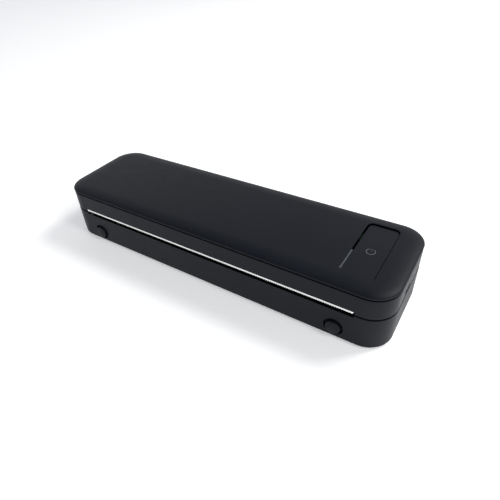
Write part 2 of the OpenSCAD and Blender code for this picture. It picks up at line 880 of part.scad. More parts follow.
module cover_frame() {
  color("#33363a") {
    difference() {
      body_prism(frame_inset, seam_z + seam_gap / 2, step_z);
      body_prism(frame_in, seam_z - over, step_z + over);
      span([-slot_half, -side_y - over, seam_z - over],
        [slot_half, -side_y + frame_in + over, seam_z + slot_up]);
      span([-window_half, hinge_y - 2 * knuckle_r, seam_z - over], [window_half, side_y + over, inlet_top]);
      along_x(end_x - frame_in - over, end_x + over)
        usb_outline(usb_port_gap);
    }
    // Ledge that the inner cover is drawn up against
    difference() {
      body_prism(frame_in - lap / 2, inner_top, inner_top + ledge_t);
      body_prism(frame_in + ledge_w, inner_top - over, inner_top + ledge_t + over);
      span([-window_half - 2, hinge_y - 8, inner_top - over],
        [window_half + 2, side_y + over, ledge_cut_z]);
      span([-arm_x - arm_w - 1.5, -side_y - over, inner_top - over],
        [arm_x + arm_w + 1.5, roller_y, ledge_cut_z]);
      span([usb_mouth_x - usb_l - over, usb_y - usb_w / 2 - 1, inner_top - over],
        [end_x + over, usb_y + usb_w / 2 + 1, ledge_cut_z]);
    }
    both_ends() {
      hinge_lug_cover();
      // Catch for the latch hook
      span([arm_x - 0.6, -side_y + frame_in - lap / 2, hook_z - catch_t - 0.4],
        [arm_x + arm_w + 0.6, slider_y - hook_reach - catch_gap, hook_z - 0.4]);
    }
    // Heat stakes for the tear bar
    for (x = stake_xs) {
      rod_y(x, bar_back - lap / 2, bar_back + bar_t + stake_head_t, stake_z, stake_r);
      rod_y(x, bar_back + bar_t + 0.05, bar_back + bar_t + 0.05 + stake_head_t, stake_z, stake_head_r);
    }
  }
}

// Stadium outline of the charging socket, across Y
module usb_outline(grow) {
  r = usb_h / 2 + grow;
  translate([usb_y, usb_z]) {
    square([usb_w - usb_h, 2 * r], center = true);
    for (s = [-1, 1])
      translate([s * (usb_w - usb_h) / 2, 0])
        circle(r);
  }
}

// Upper paper guide, which also closes the cover from below
module inner_cover() {
  half = slot_half - slot_clear;
  color("#2c2e31") {
    difference() {
      body_prism(frame_in + inner_gap, inner_z, inner_top);
      // Print head window, arms of the latches, hinge and rear flare
      span([-ear_x - ear_t - 0.1, -side_y, inner_z - over],
        [ear_x + ear_t + 0.1, head_back + 0.8, inner_top + over]);
      span([-arm_x - arm_w - 1, -side_y, inner_z - over],
        [arm_x + arm_w + 1, slider_y + slider_t + release_travel + 1, inner_top + over]);
      span([-window_half - 1, inner_flare_y, inner_z - over], [window_half + 1, side_y, inner_top + over]);
      for (p = post_places)
        translate([p[0], p[1], inner_z - over]) {
          cylinder(h = inner_t + 2 * over, r = screw_r + screw_play);
          cylinder(h = over + inner_t / 2, r = head_r + 0.2);
        }
    }
    along_x(-half, half)
      polygon([[inner_flare_y - lap, inner_z], [inner_flare_y, inner_z], [inner_rear, inlet_top],
        [inner_rear, inlet_top + inner_t], [inner_flare_y, inner_top], [inner_flare_y - lap, inner_top]]);
    both_ends()
      difference() {
        span([ear_x, pivot_y - ear_rim, inner_z], [ear_x + ear_t, head_back + ear_rim, pivot_z + 2.4]);
        rod_x(ear_x - over, ear_x + ear_t + over, pivot_y, pivot_z, pivot_r + run_gap);
      }
    for (p = pcb_screw_places)
      difference() {
        translate([p[0], p[1], inner_top - lap / 2])
          cylinder(h = pcb_z - inner_top + lap / 2, r = pcb_post_r);
        translate([p[0], p[1], inner_top + 0.2])
          cylinder(h = pcb_z, r = pcb_screw_r + screw_grip);
      }
  }
}

module cover_screws() {
  color("#8c8f92")
    for (p = post_places)
      translate([p[0], p[1], inner_z + inner_t / 2])
        mirror([0, 0, 1])
          screw(cover_screw_l, screw_r, inner_t / 2);
}

// Stainless strip with a fine saw edge, bent over the outlet's upper lip
module tear_bar() {
  teeth = floor(2 * bar_half / tooth_pitch);
  tooth_x0 = -teeth * tooth_pitch / 2;
  color("#d9dadb") {
    translate([0, bar_y + bar_t, 0])
      rotate([90, 0, 0])
        linear_extrude(bar_t)
          polygon(concat([[bar_half, web_z], [-bar_half, web_z]],
            [for (i = [0:teeth - 1]) let (x = tooth_x0 + i * tooth_pitch) each
              [[x, nose_z + tooth_h], [x + tooth_pitch / 2, nose_z]]],
            [[-tooth_x0, nose_z + tooth_h]]));
    difference() {
      union() {
        span([-bar_half, bar_y + bar_t, web_z - bar_t], [bar_half, bar_back + bar_t, web_z]);
        span([-bar_half, bar_back, web_z], [bar_half, bar_back + bar_t, bar_top]);
      }
      for (x = stake_xs)
        rod_y(x, bar_back - over, bar_back + bar_t + over, stake_z, stake_r + 0.05);
    }
  }
}

module main_pcb() {
  color("#0f2f1f")
    difference() {
      span([pcb_x0, pcb_front, pcb_z], [pcb_x1, pcb_rear, pcb_top]);
      for (p = pcb_screw_places)
        translate([p[0], p[1], pcb_z - over])
          cylinder(h = pcb_t + 2 * over, r = pcb_bore_r);
      // Room for the rear posts where the board reaches them
      for (x = [-rear_post_x, rear_post_x])
        translate([x, rear_post_y, pcb_z - over])
          cylinder(h = pcb_t + 2 * over, r = post_r + post_gap);
    }
}

module pcb_chips() {
  // Chips as [left, front, length, depth, height], then capacitors by their place
  color("#17181a") {
    for (c = chips)
      translate([c[0], pcb_front + c[1], pcb_top])
        cube([c[2], c[3], c[4]]);
    for (x = capacitor_xs)
      translate([x, pcb_front + 14, pcb_top])
        cylinder(h = capacitor_h, r = capacitor_r);
  }
}

module pcb_screws() {
  color("#8c8f92")
    for (p = pcb_screw_places)
      translate([p[0], p[1], pcb_top])
        screw(small_screw_l, pcb_screw_r);
}

// Charging socket: drawn shell with its tongue inside
module usb_c_socket() {
  color("#b9bcbf") {
    difference() {
      along_x(usb_mouth_x - usb_l, usb_mouth_x)
        usb_outline(0);
      along_x(usb_mouth_x - usb_l + 1, usb_mouth_x + over)
        usb_outline(-usb_wall);
    }
    span([usb_mouth_x - usb_l + 0.5, usb_y - usb_tongue_w / 2, usb_z - usb_tongue_t / 2],
      [usb_mouth_x - 0.6, usb_y + usb_tongue_w / 2, usb_z + usb_tongue_t / 2]);
  }
}

module button_board() {
  color("#0f2f1f")
    difference() {
      span([key_x - board_l / 2, switch_y - board_front, board_z],
        [key_x + board_l / 2, switch_y + board_back, board_z + board_t]);
      for (s = [-1, 1])
        translate([key_x + s * board_boss_x, switch_y, board_z - over])
          cylinder(h = board_t + 2 * over, r = pcb_bore_r);
    }
}

module tact_switch() {
  top = board_z + board_t;
  color("#26272a") {
    span([key_x - switch_half, switch_y - switch_half, top],
      [key_x + switch_half, switch_y + switch_half, top + switch_h]);
    translate([key_x, switch_y, top + switch_h / 2])
      cylinder(h = boss_z - press_gap - top - switch_h / 2, r = plunger_r);
  }
}

module board_screws() {
  color("#8c8f92")
    for (s = [-1, 1])
      translate([key_x + s * board_boss_x, switch_y, board_z])
        mirror([0, 0, 1])
          screw(small_screw_l, pcb_screw_r);
}

module head_springs() {
  color("#b5b8ba")
    for (x = spring_xs)
      translate([x, spring_y, sink_top])
        spring(head_spring_r, spring_wire, spring_seat_z - sink_top, 5);
}

// Flat flexible cable from the head to the main board
module head_cable() {
  y0 = head_back - 1.6;
  y1 = pcb_front - 0.1;
  middle = (y0 + y1) / 2;
  z0 = sink_top + 1;
  z1 = pcb_top + 1;
  crest = z1 + cable_rise;
  color("#d8d8d2")
    along_x(-cable_half, cable_half)
      polygon([[y0, z0], [y0 + 0.8, z0], [middle + 0.5, crest], [y1 - 0.6, crest], [y1, z1],
        [y1, z1 + cable_t], [y1 - 0.4, crest + cable_t], [middle + 0.3, crest + cable_t],
        [y0 + 0.6, z0 + cable_t], [y0, z0 + cable_t]]);
}

// Milky light guide on the slot's inner wall, beside the fixed part of the tongue
module status_light() {
  inner_x = key_x - key_w / 2 - key_gap;
  color("#d6d9dc")
    span([inner_x, key_root + light_start, pocket_z],
      [inner_x + key_gap - light_play, key_root + relief_start, top_z - light_sink]);
}

// Power button: a sprung tongue in the panel
module key_slope_frame() {
  translate([0, key_root, top_z])
    rotate([-key_slope, 0, 0])
      translate([0, -key_root, -top_z])
        children();
}

module power_button() {
  color("#2c2d31") {
    difference() {
      key_slope_frame()
        translate([0, 0, pocket_z])
          linear_extrude(panel_t)
            translate([0, key_seat])
              key_outline(0, 0);
      translate([key_x, symbol_y, top_z - symbol_depth])
        symbol_shape(0.02, symbol_depth + over);
    }
    translate([key_x, switch_y, boss_z])
      cylinder(h = 1.2, r = boss_r);
  }
}

// Ring with a gap at its rear, and a bar through the gap
module symbol_shape(grow, h) {
  linear_extrude(h) {
    difference() {
      circle(symbol_r + grow);
      circle(symbol_r - symbol_line - grow);
      translate([-symbol_gap_w / 2 + grow, 0])
        square([symbol_gap_w - 2 * grow, 2 * symbol_r]);
    }
    translate([-symbol_line / 2 - grow, symbol_bar_start - grow])
      square([symbol_line + 2 * grow, symbol_bar_l + 2 * grow]);
  }
}

module power_symbol() {
  color("#8d9092")
    intersection() {
      translate([key_x, symbol_y, top_z - symbol_depth])
        symbol_shape(0, symbol_depth + over);
      key_slope_frame()
        span([key_x - key_w / 2, symbol_y - key_w / 2, top_z - symbol_t],
          [key_x + key_w / 2, symbol_y + key_w / 2, top_z]);
    }
}

// Print head, sprung down on the roller

module head_heatsink() {
  color("#b9bcbe")
    difference() {
      span([-sink_half, head_front, sink_z], [sink_half, head_back, sink_top]);
      for (s = [-1, 1])
        translate([s * (sink_half - pin_l / 2 + 0.25) - pin_l / 2 - 0.25, 0, 0])
          rod_x(0, pin_l + 0.5, pivot_y, pivot_z, pivot_r);
      // Slots that make cooling fins
      for (x = fin_xs)
        span([x, head_front + 11, sink_top - fin_d], [x + fin_w, head_back - 4.6, sink_top + over]);
    }
}

module head_ceramic() {
  color("#e9e6dc")
    span([-ceramic_half, head_front + 0.5, head_z], [ceramic_half, roller_y + 7, sink_z]);
}

module heater_line() {
  color("#5b4a3a")
    span([-ceramic_half + 2, roller_y - 1, heater_z], [ceramic_half - 2, roller_y + 1, head_z]);
}

module driver_resin() {
  color("#111214")
    span([-ceramic_half + 9.5, roller_y + 3, head_z - resin_t], [ceramic_half - 9.5, roller_y + 6, head_z]);
}

module head_connector() {
  color("#ece9df")
    span([-connector_half, head_back - 2 - connector_w, sink_top],
      [connector_half, head_back - 2, sink_top + connector_h]);
}

module head_pivot_pins() {
  color("#b5b8ba")
    both_ends()
      rod_x(sink_half - pin_l, ear_x + ear_t, pivot_y, pivot_z, pivot_r);
}

// Roller and gear train

module platen_shaft() {
  color("#b5b8ba")
    rod_x(-small_x0 - small_w - 0.3, plate_out + 3, roller_y, roller_z, shaft_r);
}

module platen_rubber() {
  color("#1a1a1b")
    difference() {
      rod_x(-roller_l / 2, roller_l / 2, roller_y, roller_z, roller_r);
      rod_x(-roller_l / 2 - over, roller_l / 2 + over, roller_y, roller_z, shaft_r);
    }
}

module platen_gear() {
  color("#e2dfd3")
    gear(roller_teeth, -small_x0 - small_w, small_w, roller_y, roller_z, roller_to_idler, shaft_r);
}

module platen_clips() {
  color("#6f7275")
    both_ends()
      difference() {
        rod_x(clip_x, clip_x + clip_t, roller_y, roller_z, shaft_r + 1.1);
        rod_x(clip_x - over, clip_x + clip_t + over, roller_y, roller_z, shaft_r);
      }
}

module reduction_gear() {
  bore = stud_r + run_gap;
  color("#e2dfd3") {
    gear(small_teeth, -small_x0 - small_w, small_w, idler_y, idler_z,
      roller_to_idler + 180 + 180 / small_teeth, bore);
    gear(large_teeth, -large_x0 - large_w, large_w, idler_y, idler_z, idler_to_motor, bore);
    difference() {
      rod_x(-large_x0 - 0.5, -plate_out - 0.4, idler_y, idler_z, hub_r);
      rod_x(-large_x0 - over, -plate_out, idler_y, idler_z, bore);
    }
  }
}

module motor_shaft() {
  color("#c4c6c8")
    rod_x(-large_x0 - large_w - 0.3, -motor_back_x - 2, motor_y, motor_z, motor_shaft_r);
}

module motor_pinion() {
  color("#c8a85a")
    gear(pinion_teeth, -large_x0 - large_w, large_w, motor_y, motor_z,
      idler_to_motor + 180 + 180 / pinion_teeth, motor_shaft_r);
}

// Release buttons and latches

module release_button() {
  cap_back = -side_y + wall + seat_gap;
  color("#2f3235") {
    rod_y(release_x, -side_y - release_proud, cap_back, release_z, release_cap_r);
    rod_y(release_x, cap_back, slider_y - 0.9, release_z, release_hole_r - collar_play);
    rod_y(release_x, slider_y - 1, slider_y, release_z, stem_r);
  }
}

module latch_slider() {
  z0 = release_z - slider_h / 2;
  color("#e0ddd2") {
    span([release_x - slider_half, slider_y, z0], [arm_x + arm_w, slider_y + slider_t, z0 + slider_h]);
    span([arm_x, slider_y, z0], [arm_x + arm_w, slider_y + slider_t, hook_z + hook_h]);
    span([arm_x, slider_y - hook_reach, hook_z], [arm_x + arm_w, slider_y + slider_t, hook_z + hook_h]);
  }
}

module release_button_right() {
  release_button();
}

module release_button_left() {
  mirror([1, 0, 0])
    release_button();
}

module latch_slider_right() {
  latch_slider();
}

module latch_slider_left() {
  mirror([1, 0, 0])
    latch_slider();
}

base_shell();
rubber_feet();
base_screws();
paper_guide();
guide_screws();
side_plate_left();
side_plate_right();
platen_bushings();
gear_stud();
motor_body();
motor_screws();
battery_cells();
battery_holder();
battery_contacts();
hinge_pins();
latch_spring_left();
latch_spring_right();
paper_sensor();
base_wires();
top_panel();
cover_frame();
inner_cover();
cover_screws();
tear_bar();
main_pcb();
pcb_chips();
pcb_screws();
usb_c_socket();
button_board();
tact_switch();
board_screws();
head_springs();
head_cable();
status_light();
power_button();
power_symbol();
head_heatsink();
head_ceramic();
heater_line();
driver_resin();
head_connector();
head_pivot_pins();
platen_shaft();
platen_rubber();
platen_gear();
platen_clips();
reduction_gear();
motor_shaft();
motor_pinion();
release_button_left();
latch_slider_left();
release_button_right();
latch_slider_right();
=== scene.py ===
"""Looks of a portable A4 thermal printer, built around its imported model."""
import json
import math

import bmesh
import bpy
from bpy.props import FloatProperty, FloatVectorProperty, IntProperty, PointerProperty, StringProperty
from mathutils import Matrix, Vector


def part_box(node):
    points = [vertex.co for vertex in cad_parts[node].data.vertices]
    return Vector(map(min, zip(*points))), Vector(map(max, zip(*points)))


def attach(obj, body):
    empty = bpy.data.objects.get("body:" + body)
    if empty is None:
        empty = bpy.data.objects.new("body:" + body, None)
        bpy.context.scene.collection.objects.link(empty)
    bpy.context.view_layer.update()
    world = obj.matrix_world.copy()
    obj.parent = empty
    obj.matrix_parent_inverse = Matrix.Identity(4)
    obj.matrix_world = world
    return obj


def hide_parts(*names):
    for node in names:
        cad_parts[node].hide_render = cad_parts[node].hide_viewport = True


bl_info = {
    "name": "Portable A4 Printer",
    "version": (1, 0, 0),
    "blender": (4, 5, 0),
    "location": "View3D > Sidebar > Printer",
    "description": "Builds the shells, finishes and stage of a portable A4 thermal printer",
    "category": "Object",
}

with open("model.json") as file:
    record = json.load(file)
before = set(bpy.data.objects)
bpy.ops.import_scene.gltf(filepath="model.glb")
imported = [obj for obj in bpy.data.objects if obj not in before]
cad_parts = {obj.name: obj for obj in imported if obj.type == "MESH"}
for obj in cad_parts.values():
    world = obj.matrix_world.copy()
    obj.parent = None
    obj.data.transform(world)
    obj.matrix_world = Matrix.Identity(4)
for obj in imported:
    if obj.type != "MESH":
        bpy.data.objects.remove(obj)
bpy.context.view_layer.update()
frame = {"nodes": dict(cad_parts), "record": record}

MM = 0.001
PICTURE_SIDE = 500.0
SENSOR_WIDTH = 36.0
NEAREST_SEEN = 0.01

# Points closer than WELD are one, faces that meet at less than FLAT are one face, and an edge over
# CREASE stays sharp in the shading. FACE_PULL is how far large faces lead the shading, up to 100.
WELD = 0.002 * MM
FLAT = math.radians(0.4)
CREASE = math.radians(32)
FACE_PULL = 90

# Sizes that several pieces share. OVERSHOOT carries a cut past the face that it opens.
OVERSHOOT = MM
KNUCKLE_WIDTH = 4.8 * MM
KNUCKLE_BREAK = 0.3 * MM
KEY_TILT = math.radians(0.9)

FLOOR_REACH = 20.0
FLOOR_DEPTH = 0.02


def length(name, description, millimetres):
    """A length property whose default is given in millimetres."""
    return FloatProperty(
        name=name,
        description=description,
        default=millimetres * MM,
        unit="LENGTH",
        subtype="DISTANCE",
        precision=5,
    )


def angle(name, description, degrees):
    """An angle property whose default is given in degrees."""
    return FloatProperty(name=name, description=description, default=math.radians(degrees), subtype="ANGLE")


def colour(name, description, hex_code):
    """A colour kept as an sRGB hex string."""
    return StringProperty(name=name, description=description, default=hex_code)


class PrinterSizes(bpy.types.PropertyGroup):
    """Sizes of the shells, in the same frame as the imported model."""

    corner_radius: length("Corner radius", "Radius of the body's corners in plan", 17)
    wall: length("Wall", "Thickness of the shell walls", 2)
    bottom_radius: length("Bottom radius", "Radius of the lower outer edge", 1.5)
    seam_height: length("Seam height", "Height of the seam between cover and lower half", 25.5)
    seam_gap: length("Seam gap", "Gap between cover and lower half", 1.05)
    step_height: length("Step height", "Height of the groove under the top panel", 40.3)
    edge_run: length("Edge run", "Reach of the rounded top edge across the panel", 11)
    edge_drop: length("Edge drop", "Fall of the rounded top edge", 2.4)
    rim_radius: length("Rim radius", "Radius of the panel's lower edge", 1)
    groove_height: length("Groove height", "Height of the groove under the panel", 0.8)
    groove_depth: length("Groove depth", "Depth of the groove under the panel", 1.2)
    panel_thickness: length("Panel thickness", "Thickness of the top panel", 2)
    slot_half: length("Outlet half width", "Half width of the paper outlet", 112.5)
    slot_up: length("Outlet above seam", "Height of the outlet above the seam", 2.5)
    slot_down: length("Outlet below seam", "Depth of the outlet below the seam", 1.85)
    inlet_reach: length("Inlet reach", "Height of the rear inlet above and below the seam", 4)
    release_radius: length("Release hole", "Radius of the hole round a release button", 6.35)
    release_gap: length("Release gap", "Gap round a release button", 1.5)
    key_gap: length("Key gap", "Slot on the power key's inner side and at its tip", 1.2)
    key_side_gap: length("Key side gap", "Slot on the power key's outer side", 0.45)
    key_corner: length("Key corner", "Radius of the power key's rear corners", 3)
    symbol_radius: length("Symbol radius", "Outer radius of the power symbol", 3)
    symbol_line: length("Symbol line", "Line width of the power symbol", 0.5)
    edge_break: length("Edge break", "Radius of the moulded edges", 0.25)
    corner_steps: IntProperty(
        name="Corner steps", description="Facets in a quarter turn of the body", default=24
    )


class PrinterColours(bpy.types.PropertyGroup):
    """Colours of the finishes, as sRGB hex strings."""

    shell: colour("Shell", "Soft-touch black of the outer shells", "#15181e")
    inner: colour("Inner parts", "Black of the paper guides", "#191a1d")
    symbol: colour("Symbol", "Printed power symbol", "#56575a")
    steel: colour("Steel", "Bright stainless of the tear bar", "#f6f6f5")
    floor: colour("Floor", "Pale studio floor", "#f4f4f3")


class PrinterCamera(bpy.types.PropertyGroup):
    """Where the photograph was taken from, found from the outline of the body."""

    azimuth: angle("Azimuth", "Direction of the camera, from the front towards the right", 35.787)
    elevation: angle("Elevation", "Height of the camera above the horizon", 37.724)
    roll: angle("Roll", "Roll of the camera about its view", -4.307)
    distance: length("Distance", "From the camera to the point that it looks at", 362.726)
    target: FloatVectorProperty(
        name="Target",
        description="Point that the camera looks at",
        default=(-0.009832, 0.021475, -0.005987),
        unit="LENGTH",
    )
    focal_pixels: FloatProperty(
        name="Focal length", description="In pixels of the square picture", default=433.596
    )
    shift: FloatVectorProperty(
        name="Shift", description="Slight shift of the lens", default=(0.0295, -0.0193), size=2
    )


def sizes():
    """The sizes that the panel shows."""
    return bpy.context.scene.printer_sizes


def colours():
    """The colours that the panel shows."""
    return bpy.context.scene.printer_colours


def linear(hex_code):
    """sRGB hex to the linear colour that shaders use."""
    channels = [int(hex_code.lstrip("#")[i:i + 2], 16) / 255 for i in (0, 2, 4)]
    return tuple(c / 12.92 if c <= 0.04045 else ((c + 0.055) / 1.055) ** 2.4 for c in channels) + (1.0,)


# Mesh tools


def new_object(name, bm):
    """Turns a bmesh into a linked object."""
    bmesh.ops.recalc_face_normals(bm, faces=bm.faces)
    mesh = bpy.data.meshes.new(name)
    bm.to_mesh(mesh)
    bm.free()
    obj = bpy.data.objects.new(name, mesh)
    bpy.context.scene.collection.objects.link(obj)
    return obj


def arc(centre_u, centre_v, radius, start, sweep, steps):
    """Points of an arc, from a start angle over a sweep, both in degrees."""
    turns = [math.radians(start + sweep * step / steps) for step in range(steps + 1)]
    return [(centre_u + radius * math.cos(turn), centre_v + radius * math.sin(turn)) for turn in turns]


def plan_ring(inset, z):
    """Closed loop of the body's rounded plan, drawn in by inset."""
    s = sizes()
    _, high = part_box("top_panel")
    centre_x = high.x - s.corner_radius
    centre_y = high.y - s.corner_radius
    radius = s.corner_radius - inset
    points = []
    for quarter, (sign_x, sign_y) in enumerate(((1, 1), (-1, 1), (-1, -1), (1, -1))):
        points += arc(sign_x * centre_x, sign_y * centre_y, radius, 90 * quarter, 90, s.corner_steps)
    return [Vector((x, y, z)) for x, y in points]


def add_loft(bm, rings, capped=True):
    """Quads between neighbouring rings, closed by end caps or by joining the last ring to the first."""
    loops = [[bm.verts.new(p) for p in ring] for ring in rings]
    count = len(loops[0])
    pairs = list(zip(loops, loops[1:]))
    if not capped:
        pairs.append((loops[-1], loops[0]))
    for lower, upper in pairs:
        for i in range(count):
            j = (i + 1) % count
            bm.faces.new((lower[i], lower[j], upper[j], upper[i]))
    if capped:
        bm.faces.new(loops[0][::-1])
        bm.faces.new(loops[-1])


def add_box(bm, low, high):
    """Box between two corners."""
    plan = ((low[0], low[1]), (high[0], low[1]), (high[0], high[1]), (low[0], high[1]))
    add_loft(bm, [[Vector((x, y, z)) for x, y in plan] for z in (low[2], high[2])])


def add_turned(bm, profile, centre, axis, steps=64):
    """Solid of revolution: profile lists (radius, distance along the axis) from one end to the other."""
    to_axis = Vector((0, 0, 1)).rotation_difference(Vector(axis)).to_matrix()
    turns = [2 * math.pi * step / steps for step in range(steps)]
    rings = []
    for radius, along in profile:
        ring = [Vector((radius * math.cos(turn), radius * math.sin(turn), along)) for turn in turns]
        rings.append([Vector(centre) + to_axis @ point for point in ring])
    add_loft(bm, rings)


def add_prism(bm, outline, low, high, place):
    """Outline extruded between two heights; place turns (u, v, height) into a point."""
    add_loft(bm, [[place(u, v, h) for u, v in outline] for h in (low, high)])


def flat_place(u, v, h):
    """Profile in the plan, extruded upwards."""
    return Vector((u, v, h))


def across_x(u, v, h):
    """Profile in the YZ plane, extruded along X."""
    return Vector((h, u, v))


def apply_modifiers(obj):
    """Bakes an object's modifiers into its mesh."""
    depsgraph = bpy.context.evaluated_depsgraph_get()
    mesh = bpy.data.meshes.new_from_object(obj.evaluated_get(depsgraph), depsgraph=depsgraph)
    obj.modifiers.clear()
    old = obj.data
    obj.data = mesh
    bpy.data.meshes.remove(old)


def cut(obj, draw):
    """Takes away what draw adds to a bmesh."""
    bm = bmesh.new()
    draw(bm)
    cutter = new_object("cutter", bm)
    modifier = obj.modifiers.new("cut", "BOOLEAN")
    modifier.operation = "DIFFERENCE"
    modifier.solver = "EXACT"
    modifier.use_self = True
    modifier.object = cutter
    apply_modifiers(obj)
    bpy.data.objects.remove(cutter)


def break_edges(obj, radius, segments=3, limit=math.radians(35), keep_sharp=lambda edge: False):
    """Rounds the sharp edges as a mould does, and shades the faces smoothly."""
    bm = bmesh.new()
    bm.from_mesh(obj.data)
    bmesh.ops.remove_doubles(bm, verts=bm.verts, dist=WELD)
    bmesh.ops.dissolve_limit(bm, angle_limit=FLAT, verts=bm.verts, edges=bm.edges)
    weight = bm.edges.layers.float.new("bevel_weight_edge")
    for edge in bm.edges:
        if edge.calc_face_angle(0) > limit and not keep_sharp(edge):
            edge[weight] = 1.0
    bm.to_mesh(obj.data)
    bm.free()
    bevel = obj.modifiers.new("edge", "BEVEL")
    bevel.width = radius
    bevel.segments = segments
    bevel.limit_method = "WEIGHT"
    apply_modifiers(obj)
    shade(obj)


def shade(obj):
    """Smooth shading that stays sharp at creases, weighted by face area."""
    obj.data.shade_smooth()
    bm = bmesh.new()
    bm.from_mesh(obj.data)
    for edge in bm.edges:
        edge.smooth = len(edge.link_faces) == 2 and edge.calc_face_angle(0) < CREASE
    bm.to_mesh(obj.data)
    bm.free()
    weighted = obj.modifiers.new("normals", "WEIGHTED_NORMAL")
    weighted.keep_sharp = True
    weighted.weight = FACE_PULL
    apply_modifiers(obj)


def join(target, other):
    """Merges another object's mesh into the target."""
    bm = bmesh.new()
    bm.from_mesh(target.data)
    bm.from_mesh(other.data)
    bpy.data.objects.remove(other)
    bm.to_mesh(target.data)
    bm.free()


# Materials


def add_node(tree, kind, inputs=None, **settings):
    """Adds a node, sets its properties, and fills its inputs with values or links."""
    item = tree.nodes.new(kind)
    for key, value in settings.items():
        setattr(item, key, value)
    for key, value in (inputs or {}).items():
        if isinstance(value, bpy.types.NodeSocket):
            tree.links.new(value, item.inputs[key])
        else:
            item.inputs[key].default_value = value
    return item


def new_material(name):
    """Empty material with its shader and the object's own coordinates."""
    material = bpy.data.materials.new(name)
    material.use_nodes = True
    tree = material.node_tree
    tree.nodes.clear()
    shader = add_node(tree, "ShaderNodeBsdfPrincipled")
    add_node(tree, "ShaderNodeOutputMaterial", {"Surface": shader.outputs["BSDF"]})
    place = add_node(tree, "ShaderNodeTexCoord").outputs["Object"]
    return material, tree, shader, place


def stretched(tree, place, factors):
    """The coordinates, multiplied along each axis: a small factor draws a pattern out."""
    return add_node(tree, "ShaderNodeVectorMath", {0: place, 1: factors}, operation="MULTIPLY").outputs[0]


def noise(tree, place, size_mm, detail=2.0, stretch=(1, 1, 1)):
    """Noise whose lumps are about size_mm across."""
    inputs = {
        "Vector": stretched(tree, place, stretch),
        "Scale": 1 / (size_mm * MM),
        "Detail": detail,
        "Roughness": 0.5,
    }
    return add_node(tree, "ShaderNodeTexNoise", inputs).outputs["Fac"]


def spread(tree, value, low, high):
    """Maps a noise value, which stays near its middle, onto a range."""
    inputs = {"Value": value, "From Min": 0.3, "From Max": 0.7, "To Min": low, "To Max": high}
    return add_node(tree, "ShaderNodeMapRange", inputs, clamp=True).outputs["Result"]


def tinted(tree, factor, dark, light):
    """Colour between two hex codes by a factor."""
    mix = add_node(tree, "ShaderNodeMix", data_type="RGBA")
    tree.links.new(factor, mix.inputs[0])
    mix.inputs[6].default_value = linear(dark)
    mix.inputs[7].default_value = linear(light)
    return mix.outputs[2]


def shift_hex(hex_code, amount):
    """The same colour, lighter or darker by a share of itself."""
    channels = [int(hex_code.lstrip("#")[i:i + 2], 16) for i in (0, 2, 4)]
    return "#" + "".join(f"{max(0, min(255, round(c * (1 + amount)))):02x}" for c in channels)


def bump(tree, height, depth_mm):
    """Relief of a real depth."""
    inputs = {"Height": height, "Distance": depth_mm * MM, "Strength": 1.0}
    return add_node(tree, "ShaderNodeBump", inputs).outputs["Normal"]


def scatter(material, weight, reach_mm):
    """Lets light wander under a surface, by a reach for each of red, green and blue."""
    shader = material.node_tree.nodes["Principled BSDF"]
    shader.inputs["Subsurface Weight"].default_value = weight
    shader.inputs["Subsurface Radius"].default_value = [reach * MM for reach in reach_mm]


def grained_plastic(
    name, hex_code, roughness, grain_mm=0.35, depth_mm=0.004, vary=0.05, ior=1.46, gloss=0.5
):
    """Moulded plastic: a spark-eroded grain breaks the highlight, and colour and gloss wander a little."""
    cloud_mm = 45
    wear_mm = 9
    wear = 0.03
    material, tree, shader, place = new_material(name)
    cloud = spread(tree, noise(tree, place, cloud_mm, 3), 0, 1)
    grain = noise(tree, place, grain_mm, 3)
    tone = tinted(tree, cloud, shift_hex(hex_code, -vary), shift_hex(hex_code, vary))
    rubbed = spread(tree, noise(tree, place, wear_mm, 4), roughness - wear, roughness + wear)
    tree.links.new(tone, shader.inputs["Base Color"])
    tree.links.new(rubbed, shader.inputs["Roughness"])
    tree.links.new(bump(tree, grain, depth_mm), shader.inputs["Normal"])
    shader.inputs["IOR"].default_value = ior
    shader.inputs["Specular IOR Level"].default_value = gloss
    return material


def worked_metal(
    name, hex_code, roughness, streak=(1, 1, 1), streak_mm=0.4, depth_mm=0.002, contrast=0.06
):
    """Metal with the marks of its working: streaks along the way that the tool ran."""
    polished = 0.8
    scuffed = 1.25
    material, tree, shader, place = new_material(name)
    marks = noise(tree, place, streak_mm, 3, streak)
    factor = spread(tree, marks, 0, 1)
    tone = tinted(tree, factor, shift_hex(hex_code, -contrast), shift_hex(hex_code, contrast / 2))
    tree.links.new(tone, shader.inputs["Base Color"])
    tree.links.new(spread(tree, marks, roughness * polished, roughness * scuffed), shader.inputs["Roughness"])
    tree.links.new(bump(tree, marks, depth_mm), shader.inputs["Normal"])
    shader.inputs["Metallic"].default_value = 1.0
    return material


def soft_touch_abs():
    """ABS with a soft-touch lacquer over a fine grain: dark, faintly blue, with a broad soft highlight."""
    return grained_plastic("soft_touch_abs", colours().shell, 0.45, depth_mm=0.003, vary=0.03, gloss=0.14)


def moulded_guide_abs():
    """Bare moulded ABS of the paper guides: a little glossier where the paper polishes it."""
    return grained_plastic("moulded_guide_abs", colours().inner, 0.42, grain_mm=0.5, vary=0.06)


def polished_stainless():
    """Stainless strip polished along its length: near-mirror, with fine streaks along X."""
    return worked_metal("polished_stainless", colours().steel, 0.12, (0.02, 1, 1), 0.3, 0.0004, 0.03)


def moulded_rubber():
    """Black foot rubber: matte, slightly dusty."""
    return grained_plastic("moulded_rubber", "#1b1b1c", 0.8, grain_mm=0.8, depth_mm=0.01, vary=0.12, ior=1.52)


